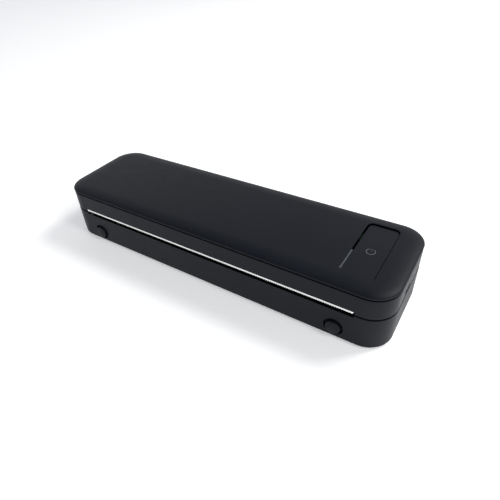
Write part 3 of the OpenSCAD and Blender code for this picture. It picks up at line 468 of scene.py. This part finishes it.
def ground_silicone():
    """Platen rubber ground to size: grinding rings round the roller."""
    material, tree, shader, place = new_material("ground_silicone")
    rings = noise(tree, place, 0.6, 2, (1, 0.02, 0.02))
    tree.links.new(tinted(tree, spread(tree, rings, 0, 1), "#1d1e1f", "#2a2b2d"), shader.inputs["Base Color"])
    tree.links.new(spread(tree, rings, 0.5, 0.62), shader.inputs["Roughness"])
    tree.links.new(bump(tree, rings, 0.006), shader.inputs["Normal"])
    shader.inputs["IOR"].default_value = 1.43
    return material


def zinc_plated_steel():
    """Zinc-plated sheet steel: pale grey with cloudy plating."""
    return worked_metal("zinc_plated_steel", "#a6abaf", 0.36, streak_mm=2.5, depth_mm=0.003, contrast=0.1)


def screw_steel():
    """Passivated screw heads, slightly darker than the plates."""
    return worked_metal("screw_steel", "#94989c", 0.32, streak_mm=0.8, depth_mm=0.002, contrast=0.12)


def ground_steel():
    """Centreless-ground steel of pins and shafts: bright, with rings round the axis."""
    return worked_metal("ground_steel", "#c3c6c9", 0.18, (1, 0.05, 0.05), 0.3, 0.0008, 0.05)


def spring_wire():
    """Drawn spring wire: darker steel with draw marks."""
    return worked_metal("spring_wire", "#9fa3a7", 0.3, streak_mm=0.5, depth_mm=0.001, contrast=0.1)


def acetal():
    """Natural acetal of gears and bushes: milky white and waxy."""
    material = grained_plastic("acetal", "#e6e3d9", 0.38, grain_mm=1.2, depth_mm=0.003, vary=0.02, ior=1.48)
    scatter(material, 0.15, (1.2, 1.1, 1))
    return material


def shrink_sleeve():
    """Plain blue PVC sleeve of the cells: glossy, with faint shrink ripples."""
    material, tree, shader, place = new_material("shrink_sleeve")
    ripple = noise(tree, place, 6, 2, (1, 0.3, 0.3))
    tone = tinted(tree, spread(tree, ripple, 0, 1), "#2a78ac", "#3588be")
    tree.links.new(tone, shader.inputs["Base Color"])
    tree.links.new(bump(tree, ripple, 0.03), shader.inputs["Normal"])
    shader.inputs["Roughness"].default_value = 0.22
    shader.inputs["IOR"].default_value = 1.53
    return material


def nickel_brass():
    """Sheet brass of the battery contacts."""
    return worked_metal("nickel_brass", "#c7ab66", 0.28, streak_mm=0.9, depth_mm=0.002)


def turned_brass():
    """Turned brass of the motor pinion."""
    return worked_metal("turned_brass", "#cda64d", 0.2, (1, 0.1, 0.1), 0.3, 0.002)


def moulded_epoxy():
    """Chip packages and driver resin: black epoxy with a fine satin."""
    return grained_plastic(
        "moulded_epoxy", "#17181a", 0.4, grain_mm=0.25, depth_mm=0.002, vary=0.1, ior=1.55
    )


def wire_insulation():
    """Red PVC insulation."""
    return grained_plastic("wire_insulation", "#9b2a22", 0.35, grain_mm=1.5, ior=1.53)


def solder_mask():
    """Circuit board: green mask, lighter where copper tracks run under it."""
    material, tree, shader, place = new_material("solder_mask")
    inputs = {
        "Vector": stretched(tree, place, (1, 2.2, 1)),
        "Scale": 90.0,
        "Mortar Size": 0.06,
        "Mortar Smooth": 0.2,
        "Brick Width": 0.9,
        "Row Height": 0.22,
        "Color1": linear("#0b2417"),
        "Color2": linear("#0e2a1b"),
        "Mortar": linear("#15402a"),
    }
    tracks = add_node(tree, "ShaderNodeTexBrick", inputs)
    tree.links.new(tracks.outputs["Color"], shader.inputs["Base Color"])
    tree.links.new(bump(tree, tracks.outputs["Fac"], -0.02), shader.inputs["Normal"])
    shader.inputs["Roughness"].default_value = 0.3
    shader.inputs["IOR"].default_value = 1.55
    return material


def drawn_stainless():
    """Drawn steel shell of the charging socket."""
    return worked_metal("drawn_stainless", "#b9bcc0", 0.24, (0.1, 1, 1), 0.4, 0.001)


def polyester_film():
    """White polyester and nylon of cable and connector."""
    return grained_plastic(
        "polyester_film", "#dedcd3", 0.34, grain_mm=2.0, depth_mm=0.003, vary=0.03, ior=1.57
    )


def milky_acrylic():
    """Smoke-tinted diffusing acrylic of the light guide: grey when unlit, softened under its surface, and
    pale enough that its grey is a painted highlight in the power key's slot.
    """
    # The guide's grey is set light to paint the highlight that falls on the wall of the power key's slot.
    material = grained_plastic(
        "milky_acrylic", "#565a5e", 0.3, grain_mm=1.0, depth_mm=0.001, vary=0.02, ior=1.49
    )
    scatter(material, 0.3, (1, 1, 1))
    return material


def printed_ink():
    """Pad-printed grey ink: thin, flat and slightly glossier than the lacquer."""
    return grained_plastic("printed_ink", colours().symbol, 0.5, grain_mm=0.4, depth_mm=0.001, vary=0.03)


def milled_aluminium():
    """Extruded and milled heat sink: streaks along X."""
    return worked_metal("milled_aluminium", "#bcbfc2", 0.34, (0.03, 1, 1), 0.5, 0.003, 0.08)


def alumina():
    """Alumina substrate: warm white fired ceramic with a slight sheen."""
    return grained_plastic("alumina", "#ebe7db", 0.36, grain_mm=0.3, depth_mm=0.002, vary=0.03, ior=1.76)


def glazed_line():
    """Glass glaze over the heater line: dark brown and glossy."""
    return grained_plastic("glazed_line", "#5b4638", 0.15, grain_mm=0.8, depth_mm=0.001, vary=0.15, ior=1.52)


def opal_acrylic():
    """Opal acrylic of a light table: white, faintly uneven, and lit from below so that shadows stay pale."""
    material = grained_plastic("opal_acrylic", colours().floor, 0.6, grain_mm=4, depth_mm=0.01, vary=0.004)
    shader = material.node_tree.nodes["Principled BSDF"]
    shader.inputs["Emission Color"].default_value = linear("#ffffff")
    shader.inputs["Emission Strength"].default_value = 0.36
    return material


FINISHES = {
    "soft_touch_black": soft_touch_abs,
    "inner_black": moulded_guide_abs,
    "rubber": moulded_rubber,
    "roller_rubber": ground_silicone,
    "screw_steel": screw_steel,
    "zinc_plate": zinc_plated_steel,
    "bush_plastic": acetal,
    "ground_steel": ground_steel,
    "spring_steel": spring_wire,
    "cell_wrap": shrink_sleeve,
    "contact_brass": nickel_brass,
    "pinion_brass": turned_brass,
    "chip_black": moulded_epoxy,
    "wire_red": wire_insulation,
    "tear_steel": polished_stainless,
    "board_green": solder_mask,
    "socket_steel": drawn_stainless,
    "cable_white": polyester_film,
    "milky_acrylic": milky_acrylic,
    "symbol_grey": printed_ink,
    "sink_aluminium": milled_aluminium,
    "alumina": alumina,
    "glaze": glazed_line,
}


def finish(slot):
    """The material of a slot, made once."""
    key = "finish_" + slot
    if key not in bpy.context.scene:
        bpy.context.scene[key] = FINISHES[slot]().name
    return bpy.data.materials[bpy.context.scene[key]]


def slot_of(node):
    """The record's material slot of a node."""
    return next(s["material_slot"] for s in frame["record"]["subparts"] if s["node"] == node)


def body_of(node):
    """The body that carries a node."""
    return next(b for b, nodes in frame["record"]["behaviour"]["bodies"].items() if node in nodes)


def dress(obj, node):
    """Gives a piece its node's finish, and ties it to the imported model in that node's place."""
    slot = slot_of(node)
    obj.data.materials.clear()
    obj.data.materials.append(finish(slot))
    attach(obj, body_of(node))
    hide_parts(node)


# Shells


def key_outline(grow, outer_grow):
    """Plan of the power key, grown by one amount on its inner side and tip and another on its outer side."""
    s = sizes()
    low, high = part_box("power_button")
    radius = s.key_corner + grow
    left, right, rear = low.x - grow, high.x + outer_grow, high.y + grow
    outline = [(left, low.y), (right, low.y)]
    outline += arc(right - radius, rear - radius, radius, 0, 90, 8)
    outline += arc(left + radius, rear - radius, radius, 90, 90, 8)
    return outline


def build_top_panel():
    """Top panel: rolled rim over a groove, elliptical edge, pocket inside and the window of the power key."""
    s = sizes()
    rim = s.step_height + s.groove_height + s.rim_radius
    top = rim + s.edge_drop
    pocket = top - s.panel_thickness
    pocket_inset = 5 * MM
    edge_steps = 24
    section = [
        (pocket_inset, pocket),
        (pocket_inset, s.step_height),
        (s.groove_depth, s.step_height),
        (s.groove_depth, s.step_height + s.groove_height),
    ]
    # The edge starts where the rim ends, so that shared point is left out of the rim.
    section += arc(s.rim_radius, rim, s.rim_radius, -90, -90, 8)[:-1]
    for step in range(edge_steps + 1):
        turn = math.pi / 2 * step / edge_steps
        section.append((s.edge_run * (1 - math.cos(turn)), rim + s.edge_drop * math.sin(turn)))
    bm = bmesh.new()
    add_loft(bm, [plan_ring(inset, z) for inset, z in section])
    panel = new_object("top_shell", bm)
    low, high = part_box("power_button")

    def key_window(bm):
        outline = key_outline(s.key_gap, s.key_side_gap)
        add_prism(bm, outline, s.step_height - 3 * OVERSHOOT, top + 2 * OVERSHOOT, flat_place)

    def relief(bm):
        # A hollow under the rear of the slot leaves a thin skin there, so the slot looks black.
        start = low.y + 20.4 * MM
        skin = 0.6 * MM
        reach = s.key_gap + 1.5 * MM
        add_box(bm, (low.x - reach, start, pocket - OVERSHOOT), (high.x, high.y + reach, top - skin))

    def at_key_root(edge):
        near = 2 * MM
        return all(
            abs(v.co.y - low.y) < 5 * WELD and low.x - near < v.co.x < high.x + near for v in edge.verts
        )

    cut(panel, key_window)
    cut(panel, relief)
    break_edges(panel, s.edge_break, limit=math.radians(50), keep_sharp=at_key_root)
    dress(panel, "top_panel")


def knuckle_outline(pin_y, pin_z, radius, start, root_z):
    """Profile of a hinge knuckle: half a turn about the pin from a start angle, and a straight root."""
    round_end = arc(pin_y, pin_z, radius, start, 180, 20)
    side = math.copysign(radius, round_end[-1][0] - pin_y)
    return round_end + [(pin_y + side, root_z), (pin_y - side, root_z)]


def build_cover_frame():
    """Band of the cover, with the outlet, the inlet and the charging port cut through it."""
    s = sizes()
    low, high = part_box("cover_frame")
    pin_low, pin_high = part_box("hinge_pins")
    socket_low, socket_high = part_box("usb_c_socket")
    seam = s.seam_height + s.seam_gap / 2
    outer = 0.15 * MM
    inner = outer + s.wall
    section = ((outer, seam), (outer, s.step_height), (inner, s.step_height), (inner, seam))
    bm = bmesh.new()
    add_loft(bm, [plan_ring(inset, z) for inset, z in section], capped=False)
    band = new_object("cover_band", bm)

    def openings(bm):
        past_wall = s.wall + 2 * OVERSHOOT
        outlet_top = s.seam_height + s.slot_up
        add_box(
            bm,
            (-s.slot_half, low.y - OVERSHOOT, seam - OVERSHOOT),
            (s.slot_half, low.y + past_wall, outlet_top),
        )
        inlet_half = pin_high.x + MM
        inlet_depth = 8 * MM
        add_box(
            bm,
            (-inlet_half, high.y - inlet_depth, seam - OVERSHOOT),
            (inlet_half, high.y + OVERSHOOT, s.seam_height + s.inlet_reach),
        )
        port_gap = 0.35 * MM
        radius = (socket_high.z - socket_low.z) / 2 + port_gap
        middle = (socket_high.z + socket_low.z) / 2
        port = arc(socket_high.y + port_gap - radius, middle, radius, -90, 180, 16)
        port += arc(socket_low.y - port_gap + radius, middle, radius, 90, 180, 16)
        add_prism(bm, port, high.x - past_wall, high.x + OVERSHOOT, across_x)

    cut(band, openings)
    break_edges(band, s.edge_break)
    lugs = bmesh.new()
    pin_y = (pin_low.y + pin_high.y) / 2
    pin_z = (pin_low.z + pin_high.z) / 2
    beside_outlet = 1.1 * MM
    root = s.seam_height + s.inlet_reach + 5 * MM
    knuckle = knuckle_outline(pin_y, pin_z, pin_z - low.z, 180, root)
    for side in (-1, 1):
        near = side * (s.slot_half + beside_outlet)
        far = near + side * KNUCKLE_WIDTH
        add_prism(lugs, knuckle, min(near, far), max(near, far), across_x)
    arm = 3.4 * MM
    catch_side = 0.6 * MM
    catch_sunk = 0.3 * MM
    catch_gap = 0.5 * MM
    catch_top = 1.8 * MM
    catch_bottom = 3.4 * MM
    for slider_low, slider_high in (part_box("latch_slider_left"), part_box("latch_slider_right")):
        x = slider_low.x if slider_low.x < 0 else slider_high.x - arm
        add_box(
            lugs,
            (x - catch_side, low.y + s.wall - catch_sunk, slider_high.z - catch_bottom),
            (x + arm + catch_side, slider_low.y - catch_gap, slider_high.z - catch_top),
        )
    lugs_object = new_object("lugs", lugs)
    break_edges(lugs_object, KNUCKLE_BREAK)
    join(band, lugs_object)
    dress(band, "cover_frame")


def build_base_shell():
    """Lower half: tray with a rounded foot, outlet lip, inlet, button and screw holes, and knuckles."""
    s = sizes()
    low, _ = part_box("base_shell")
    pin_low, pin_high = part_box("hinge_pins")
    screw_low, screw_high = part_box("base_screws")
    pin_y = (pin_low.y + pin_high.y) / 2
    pin_z = (pin_low.z + pin_high.z) / 2
    top = s.seam_height - s.seam_gap / 2
    floor_thickness = 2 * MM
    section = [(s.wall, low.z + floor_thickness), (s.wall, top), (0, top)]
    section += arc(s.bottom_radius, low.z + s.bottom_radius, s.bottom_radius, 180, 90, 8)
    bm = bmesh.new()
    add_loft(bm, [plan_ring(inset, z) for inset, z in section])
    tray = new_object("lower_shell", bm)

    lip = s.seam_height - s.slot_down
    lip_front = low.y + 0.4 * MM
    lip_rear = low.y + s.wall + OVERSHOOT
    lip_fall = (lip_rear - lip_front) * math.tan(math.radians(55))

    def openings(bm):
        above = top + OVERSHOOT
        add_box(bm, (-s.slot_half, low.y - OVERSHOOT, lip), (s.slot_half, lip_front, above))
        lip_profile = [(lip_front, lip), (lip_rear, lip - lip_fall), (lip_rear, above), (lip_front, above)]
        add_prism(bm, lip_profile, -s.slot_half, s.slot_half, across_x)
        inlet_half = pin_high.x + KNUCKLE_WIDTH
        inlet_front = pin_y - 0.5 * MM
        add_box(
            bm,
            (-inlet_half, inlet_front, s.seam_height - s.inlet_reach),
            (inlet_half, -low.y + OVERSHOOT, above),
        )
        for node in ("release_button_left", "release_button_right"):
            button_low, button_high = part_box(node)
            centre = (button_low + button_high) / 2
            hole = ((s.release_radius, -OVERSHOOT), (s.release_radius, s.wall + OVERSHOOT))
            add_turned(bm, hole, (centre.x, low.y, centre.z), (0, 1, 0))
        head_radius = 2.1 * MM
        bore = 2.4 * MM
        bore_depth = 1.3 * MM
        for x in (screw_low.x + head_radius, screw_high.x - head_radius):
            for y in (screw_low.y + head_radius, screw_high.y - head_radius):
                add_turned(bm, ((bore, -OVERSHOOT), (bore, bore_depth)), (x, y, low.z), (0, 0, 1), 32)

    cut(tray, openings)
    break_edges(tray, s.edge_break)
    knuckles = bmesh.new()
    radius = 3 * MM
    sunk = 0.2 * MM
    outline = knuckle_outline(pin_y, pin_z, radius, 0, low.z + floor_thickness - sunk)
    for side in (-1, 1):
        outer = side * pin_high.x
        inner = outer - side * KNUCKLE_WIDTH
        add_prism(knuckles, outline, min(inner, outer), max(inner, outer), across_x)
    knuckles_object = new_object("knuckles", knuckles)
    break_edges(knuckles_object, KNUCKLE_BREAK)
    join(tray, knuckles_object)
    dress(tray, "base_shell")


def build_release_button(side):
    """Round release button with a shallow dome, a broken edge and a flange behind the wall."""
    s = sizes()
    node = "release_button_" + side
    low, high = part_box(node)
    wall_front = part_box("base_shell")[0].y
    centre = Vector(((low.x + high.x) / 2, low.y, (low.z + high.z) / 2))
    radius = s.release_radius - s.release_gap
    edge = 0.7 * MM
    dome = 0.35 * MM
    tip = 0.02
    stem = 3 * MM
    flange = s.release_radius - 0.2 * MM
    flange_front = s.wall + 0.3 * MM - low.y + wall_front
    flange_rear = flange_front + 0.95 * MM
    profile = []
    for step in range(9):
        share = tip + (1 - tip) * step / 8
        profile.append(((radius - edge) * share, dome * share * share))
    profile += arc(radius - edge, dome + edge, edge, -90, 90, 8)[1:]
    profile += [(radius, flange_front), (flange, flange_front), (flange, flange_rear)]
    profile += [(stem, flange_rear), (stem, high.y - low.y)]
    bm = bmesh.new()
    add_turned(bm, profile, centre, (0, 1, 0), 96)
    button = new_object("release_cap_" + side, bm)
    shade(button)
    dress(button, node)


def build_power_key():
    """Power key: a tongue that slopes gently down to its free end."""
    s = sizes()
    low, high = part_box("power_button")
    panel_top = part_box("top_panel")[1].z
    root = low.y
    boss_radius = 2 * MM
    boss_height = 1.2 * MM
    boss_from_root = 44.5 * MM

    def sloped(u, v, h):
        return Vector((u, v, h - (v - root) * math.tan(KEY_TILT)))

    def at_root(edge):
        return all(v.co.y < root + 5 * WELD for v in edge.verts)

    bm = bmesh.new()
    add_prism(bm, key_outline(0, 0), panel_top - s.panel_thickness, panel_top, sloped)
    key = new_object("power_key", bm)
    break_edges(key, s.edge_break, keep_sharp=at_root)
    boss = bmesh.new()
    boss_foot = ((low.x + high.x) / 2, root + boss_from_root, low.z)
    add_turned(boss, ((boss_radius, 0), (boss_radius, boss_height)), boss_foot, (0, 0, 1), 32)
    join(key, new_object("boss", boss))
    dress(key, "power_button")


def build_power_symbol():
    """Printed power symbol: a ring open at the rear with a bar through the gap."""
    s = sizes()
    low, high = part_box("power_symbol")
    centre_x = (low.x + high.x) / 2
    centre_y = low.y + s.symbol_radius
    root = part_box("power_button")[0].y
    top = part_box("top_panel")[1].z

    def on_key(u, v, h):
        return Vector((centre_x + u, centre_y + v, top - (centre_y + v - root) * math.tan(KEY_TILT) + h))

    half_gap = 32
    sweep = 360 - 2 * half_gap
    ring = arc(0, 0, s.symbol_radius, 90 + half_gap, sweep, 48)
    ring += reversed(arc(0, 0, s.symbol_radius - s.symbol_line, 90 + half_gap, sweep, 48))
    half = s.symbol_line / 2
    bar_start = 1.3 * MM
    bar_end = 2.6 * MM
    bar = [(-half, bar_start), (half, bar_start), (half, bar_end), (-half, bar_end)]
    sunk = 0.05 * MM
    proud = 0.02 * MM
    bm = bmesh.new()
    for outline in (ring, bar):
        add_prism(bm, outline, -sunk, proud, on_key)
    dress(new_object("power_mark", bm), "power_symbol")


def build_tear_bar():
    """Stainless strip bent over the outlet's upper lip, with a saw edge."""
    s = sizes()
    low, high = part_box("tear_bar")
    thick = 0.8 * MM
    pitch = 1.5 * MM
    depth = 0.6 * MM
    overlap = 0.1 * MM
    web = s.seam_height + s.slot_up - overlap
    teeth = int((high.x - low.x) // pitch)
    start = -teeth * pitch / 2
    outline = [(high.x, web), (low.x, web)]
    for tooth in range(teeth):
        x = start + tooth * pitch
        outline += [(x, low.z + depth), (x + pitch / 2, low.z)]
    outline.append((-start, low.z + depth))
    bm = bmesh.new()
    add_prism(bm, outline, low.y, low.y + thick, lambda u, v, h: Vector((u, h, v)))
    bar = new_object("tear_strip", bm)
    break_edges(bar, 0.08 * MM, 2, math.radians(50))
    bend_front = low.y + thick - overlap
    bend_rear = high.y - thick
    bend = [
        (bend_front, web - thick),
        (high.y, web - thick),
        (high.y, high.z),
        (bend_rear, high.z),
        (bend_rear, web),
        (bend_front, web),
    ]
    back = bmesh.new()
    add_prism(back, bend, low.x, high.x, across_x)
    back_object = new_object("bend", back)
    break_edges(back_object, 0.12 * MM)
    join(bar, back_object)
    dress(bar, "tear_bar")


def build_feet():
    """Rubber feet with rounded rims."""
    low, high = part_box("rubber_feet")
    radius = 5.5 * MM
    rim = 0.35 * MM
    tip = 0.3 * MM
    profile = [(tip, 0)] + arc(radius - rim, rim, rim, -90, 90, 6) + [(radius, high.z)]
    bm = bmesh.new()
    for x in (low.x + radius, high.x - radius):
        for y in (low.y + radius, high.y - radius):
            add_turned(bm, profile, (x, y, low.z), (0, 0, 1), 48)
    feet = new_object("feet", bm)
    shade(feet)
    dress(feet, "rubber_feet")


# Inner parts


# Reach of the softened edges, in millimetres
SOFTENED = {
    "paper_guide": 0.2,
    "inner_cover": 0.2,
    "head_heatsink": 0.2,
    "head_ceramic": 0.08,
    "latch_slider_left": 0.3,
    "latch_slider_right": 0.3,
    "battery_holder": 0.3,
    "status_light": 0.1,
    "side_plate_left": 0.12,
    "side_plate_right": 0.12,
}


def build_softened(node):
    """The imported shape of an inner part, with the moulded or deburred edges of the real one."""
    bm = bmesh.new()
    bm.from_mesh(frame["nodes"][node].data)
    piece = new_object(node + "_finished", bm)
    break_edges(piece, SOFTENED[node] * MM, 2, math.radians(40))
    dress(piece, node)


def dress_remaining_nodes():
    """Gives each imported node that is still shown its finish."""
    for name, obj in frame["nodes"].items():
        if obj.hide_render:
            continue
        material = finish(slot_of(name))
        if not obj.material_slots:
            obj.data.materials.append(None)
        for entry in obj.material_slots:
            entry.link = "OBJECT"
            entry.material = material


# Stage


def build_camera():
    """Camera at the photograph's viewpoint."""
    view = bpy.context.scene.printer_camera
    across = math.cos(view.elevation)
    back = Vector(
        (
            math.sin(view.azimuth) * across,
            -math.cos(view.azimuth) * across,
            math.sin(view.elevation),
        )
    )
    right = (-back).cross(Vector((0, 0, 1))).normalized()
    up = right.cross(-back)
    turned_right = right * math.cos(view.roll) + up * math.sin(view.roll)
    turned_up = -right * math.sin(view.roll) + up * math.cos(view.roll)
    camera = bpy.data.objects.new("camera", bpy.data.cameras.new("camera"))
    bpy.context.scene.collection.objects.link(camera)
    rotation = Matrix((turned_right, turned_up, back)).transposed().to_4x4()
    camera.matrix_world = Matrix.Translation(Vector(view.target) + back * view.distance) @ rotation
    camera.data.sensor_width = SENSOR_WIDTH
    camera.data.lens = view.focal_pixels / PICTURE_SIDE * SENSOR_WIDTH
    camera.data.shift_x, camera.data.shift_y = view.shift
    camera.data.clip_start = NEAREST_SEEN
    bpy.context.scene.camera = camera


def area_light(name, size, watts, place, aim):
    """Soft box facing a point."""
    data = bpy.data.lights.new(name, "AREA")
    data.shape = "RECTANGLE"
    data.size, data.size_y = size
    data.energy = watts
    light = bpy.data.objects.new(name, data)
    bpy.context.scene.collection.objects.link(light)
    light.location = place
    light.rotation_euler = (Vector(aim) - Vector(place)).to_track_quat("-Z", "Y").to_euler()


def studio_world():
    """Surroundings: a pale wall all round near the horizon, and a dim ceiling over it."""
    world = bpy.data.worlds.new("studio")
    bpy.context.scene.world = world
    world.use_nodes = True
    tree = world.node_tree
    background = tree.nodes["Background"]
    direction = add_node(tree, "ShaderNodeTexCoord").outputs["Generated"]
    height = add_node(tree, "ShaderNodeSeparateXYZ", {0: direction}).outputs["Z"]
    ramp = add_node(tree, "ShaderNodeValToRGB", {"Fac": height})
    # The ramp runs from the wall at the horizon up to the ceiling overhead.
    wall, ceiling = ramp.color_ramp.elements
    wall.position = 0.4
    wall.color = linear("#ffffff")
    ceiling.position = 0.88
    ceiling.color = linear("#1d1f24")
    wall_top = ramp.color_ramp.elements.new(0.6)
    wall_top.color = linear("#a2a8b9")
    tree.links.new(ramp.outputs["Color"], background.inputs["Color"])
    background.inputs["Strength"].default_value = 1.0


def build_stage():
    """Pale floor, bright surroundings and soft boxes."""
    bm = bmesh.new()
    add_box(bm, (-FLOOR_REACH, -FLOOR_REACH, -FLOOR_DEPTH), (FLOOR_REACH, FLOOR_REACH, 0))
    floor = new_object("floor", bm)
    floor.data.materials.append(opal_acrylic())
    studio_world()
    area_light("key_box", size=(0.5, 0.5), watts=16, place=(0.7, 0.8, 1.25), aim=(0, 0, 0.02))
    area_light("side_box", size=(0.3, 0.3), watts=4, place=(0.9, -0.1, 0.9), aim=(0.1, 0, 0.02))
    scene = bpy.context.scene
    scene.view_settings.view_transform = "Standard"
    scene.view_settings.look = "None"


class PRINTER_OT_camera(bpy.types.Operator):
    """Place the camera where the photograph was taken"""

    bl_idname = "printer.camera"
    bl_label = "Camera"

    def execute(self, context):
        build_camera()
        return {"FINISHED"}


class PRINTER_OT_stage(bpy.types.Operator):
    """Lay the pale floor and set the studio lights"""

    bl_idname = "printer.stage"
    bl_label = "Stage"

    def execute(self, context):
        build_stage()
        return {"FINISHED"}


class PRINTER_OT_cover(bpy.types.Operator):
    """Model the top panel and the band of the cover"""

    bl_idname = "printer.cover"
    bl_label = "Cover shells"

    def execute(self, context):
        build_top_panel()
        build_cover_frame()
        return {"FINISHED"}


class PRINTER_OT_base(bpy.types.Operator):
    """Model the lower half and its rubber feet"""

    bl_idname = "printer.base"
    bl_label = "Lower half"

    def execute(self, context):
        build_base_shell()
        build_feet()
        return {"FINISHED"}


class PRINTER_OT_buttons(bpy.types.Operator):
    """Model the two release buttons"""

    bl_idname = "printer.buttons"
    bl_label = "Release buttons"

    def execute(self, context):
        for side in ("left", "right"):
            build_release_button(side)
        return {"FINISHED"}


class PRINTER_OT_power_key(bpy.types.Operator):
    """Model the power key and its printed symbol"""

    bl_idname = "printer.power_key"
    bl_label = "Power key"

    def execute(self, context):
        build_power_key()
        build_power_symbol()
        return {"FINISHED"}


class PRINTER_OT_tear_bar(bpy.types.Operator):
    """Model the stainless tear bar"""

    bl_idname = "printer.tear_bar"
    bl_label = "Tear bar"

    def execute(self, context):
        build_tear_bar()
        return {"FINISHED"}


class PRINTER_OT_inner_parts(bpy.types.Operator):
    """Finish the guides, print head, gears and the other inner parts"""

    bl_idname = "printer.inner_parts"
    bl_label = "Inner parts"

    def execute(self, context):
        for node in SOFTENED:
            build_softened(node)
        dress_remaining_nodes()
        return {"FINISHED"}


OPERATORS = (
    PRINTER_OT_camera,
    PRINTER_OT_cover,
    PRINTER_OT_base,
    PRINTER_OT_buttons,
    PRINTER_OT_power_key,
    PRINTER_OT_tear_bar,
    PRINTER_OT_inner_parts,
    PRINTER_OT_stage,
)


class PRINTER_PT_panel(bpy.types.Panel):
    """Lists the sizes, the colours and the steps of the build"""

    bl_label = "Portable printer"
    bl_idname = "PRINTER_PT_panel"
    bl_space_type = "VIEW_3D"
    bl_region_type = "UI"
    bl_category = "Printer"

    def draw(self, context):
        scene = context.scene
        for group in (scene.printer_sizes, scene.printer_colours, scene.printer_camera):
            box = self.layout.box()
            for key in group.__annotations__:
                box.prop(group, key)
        for operator in OPERATORS:
            self.layout.operator(operator.bl_idname)


CLASSES = (PrinterSizes, PrinterColours, PrinterCamera, *OPERATORS, PRINTER_PT_panel)


def register():
    for item in CLASSES:
        bpy.utils.register_class(item)
    bpy.types.Scene.printer_sizes = PointerProperty(type=PrinterSizes)
    bpy.types.Scene.printer_colours = PointerProperty(type=PrinterColours)
    bpy.types.Scene.printer_camera = PointerProperty(type=PrinterCamera)


def unregister():
    del bpy.types.Scene.printer_camera
    del bpy.types.Scene.printer_colours
    del bpy.types.Scene.printer_sizes
    for item in reversed(CLASSES):
        bpy.utils.unregister_class(item)


def run(operator):
    """Runs one step through its operator."""
    group, name = operator.bl_idname.split(".")
    getattr(getattr(bpy.ops, group), name)()


def main():
    register()
    for operator in OPERATORS:
        run(operator)


if __name__ == "__main__":
    main()
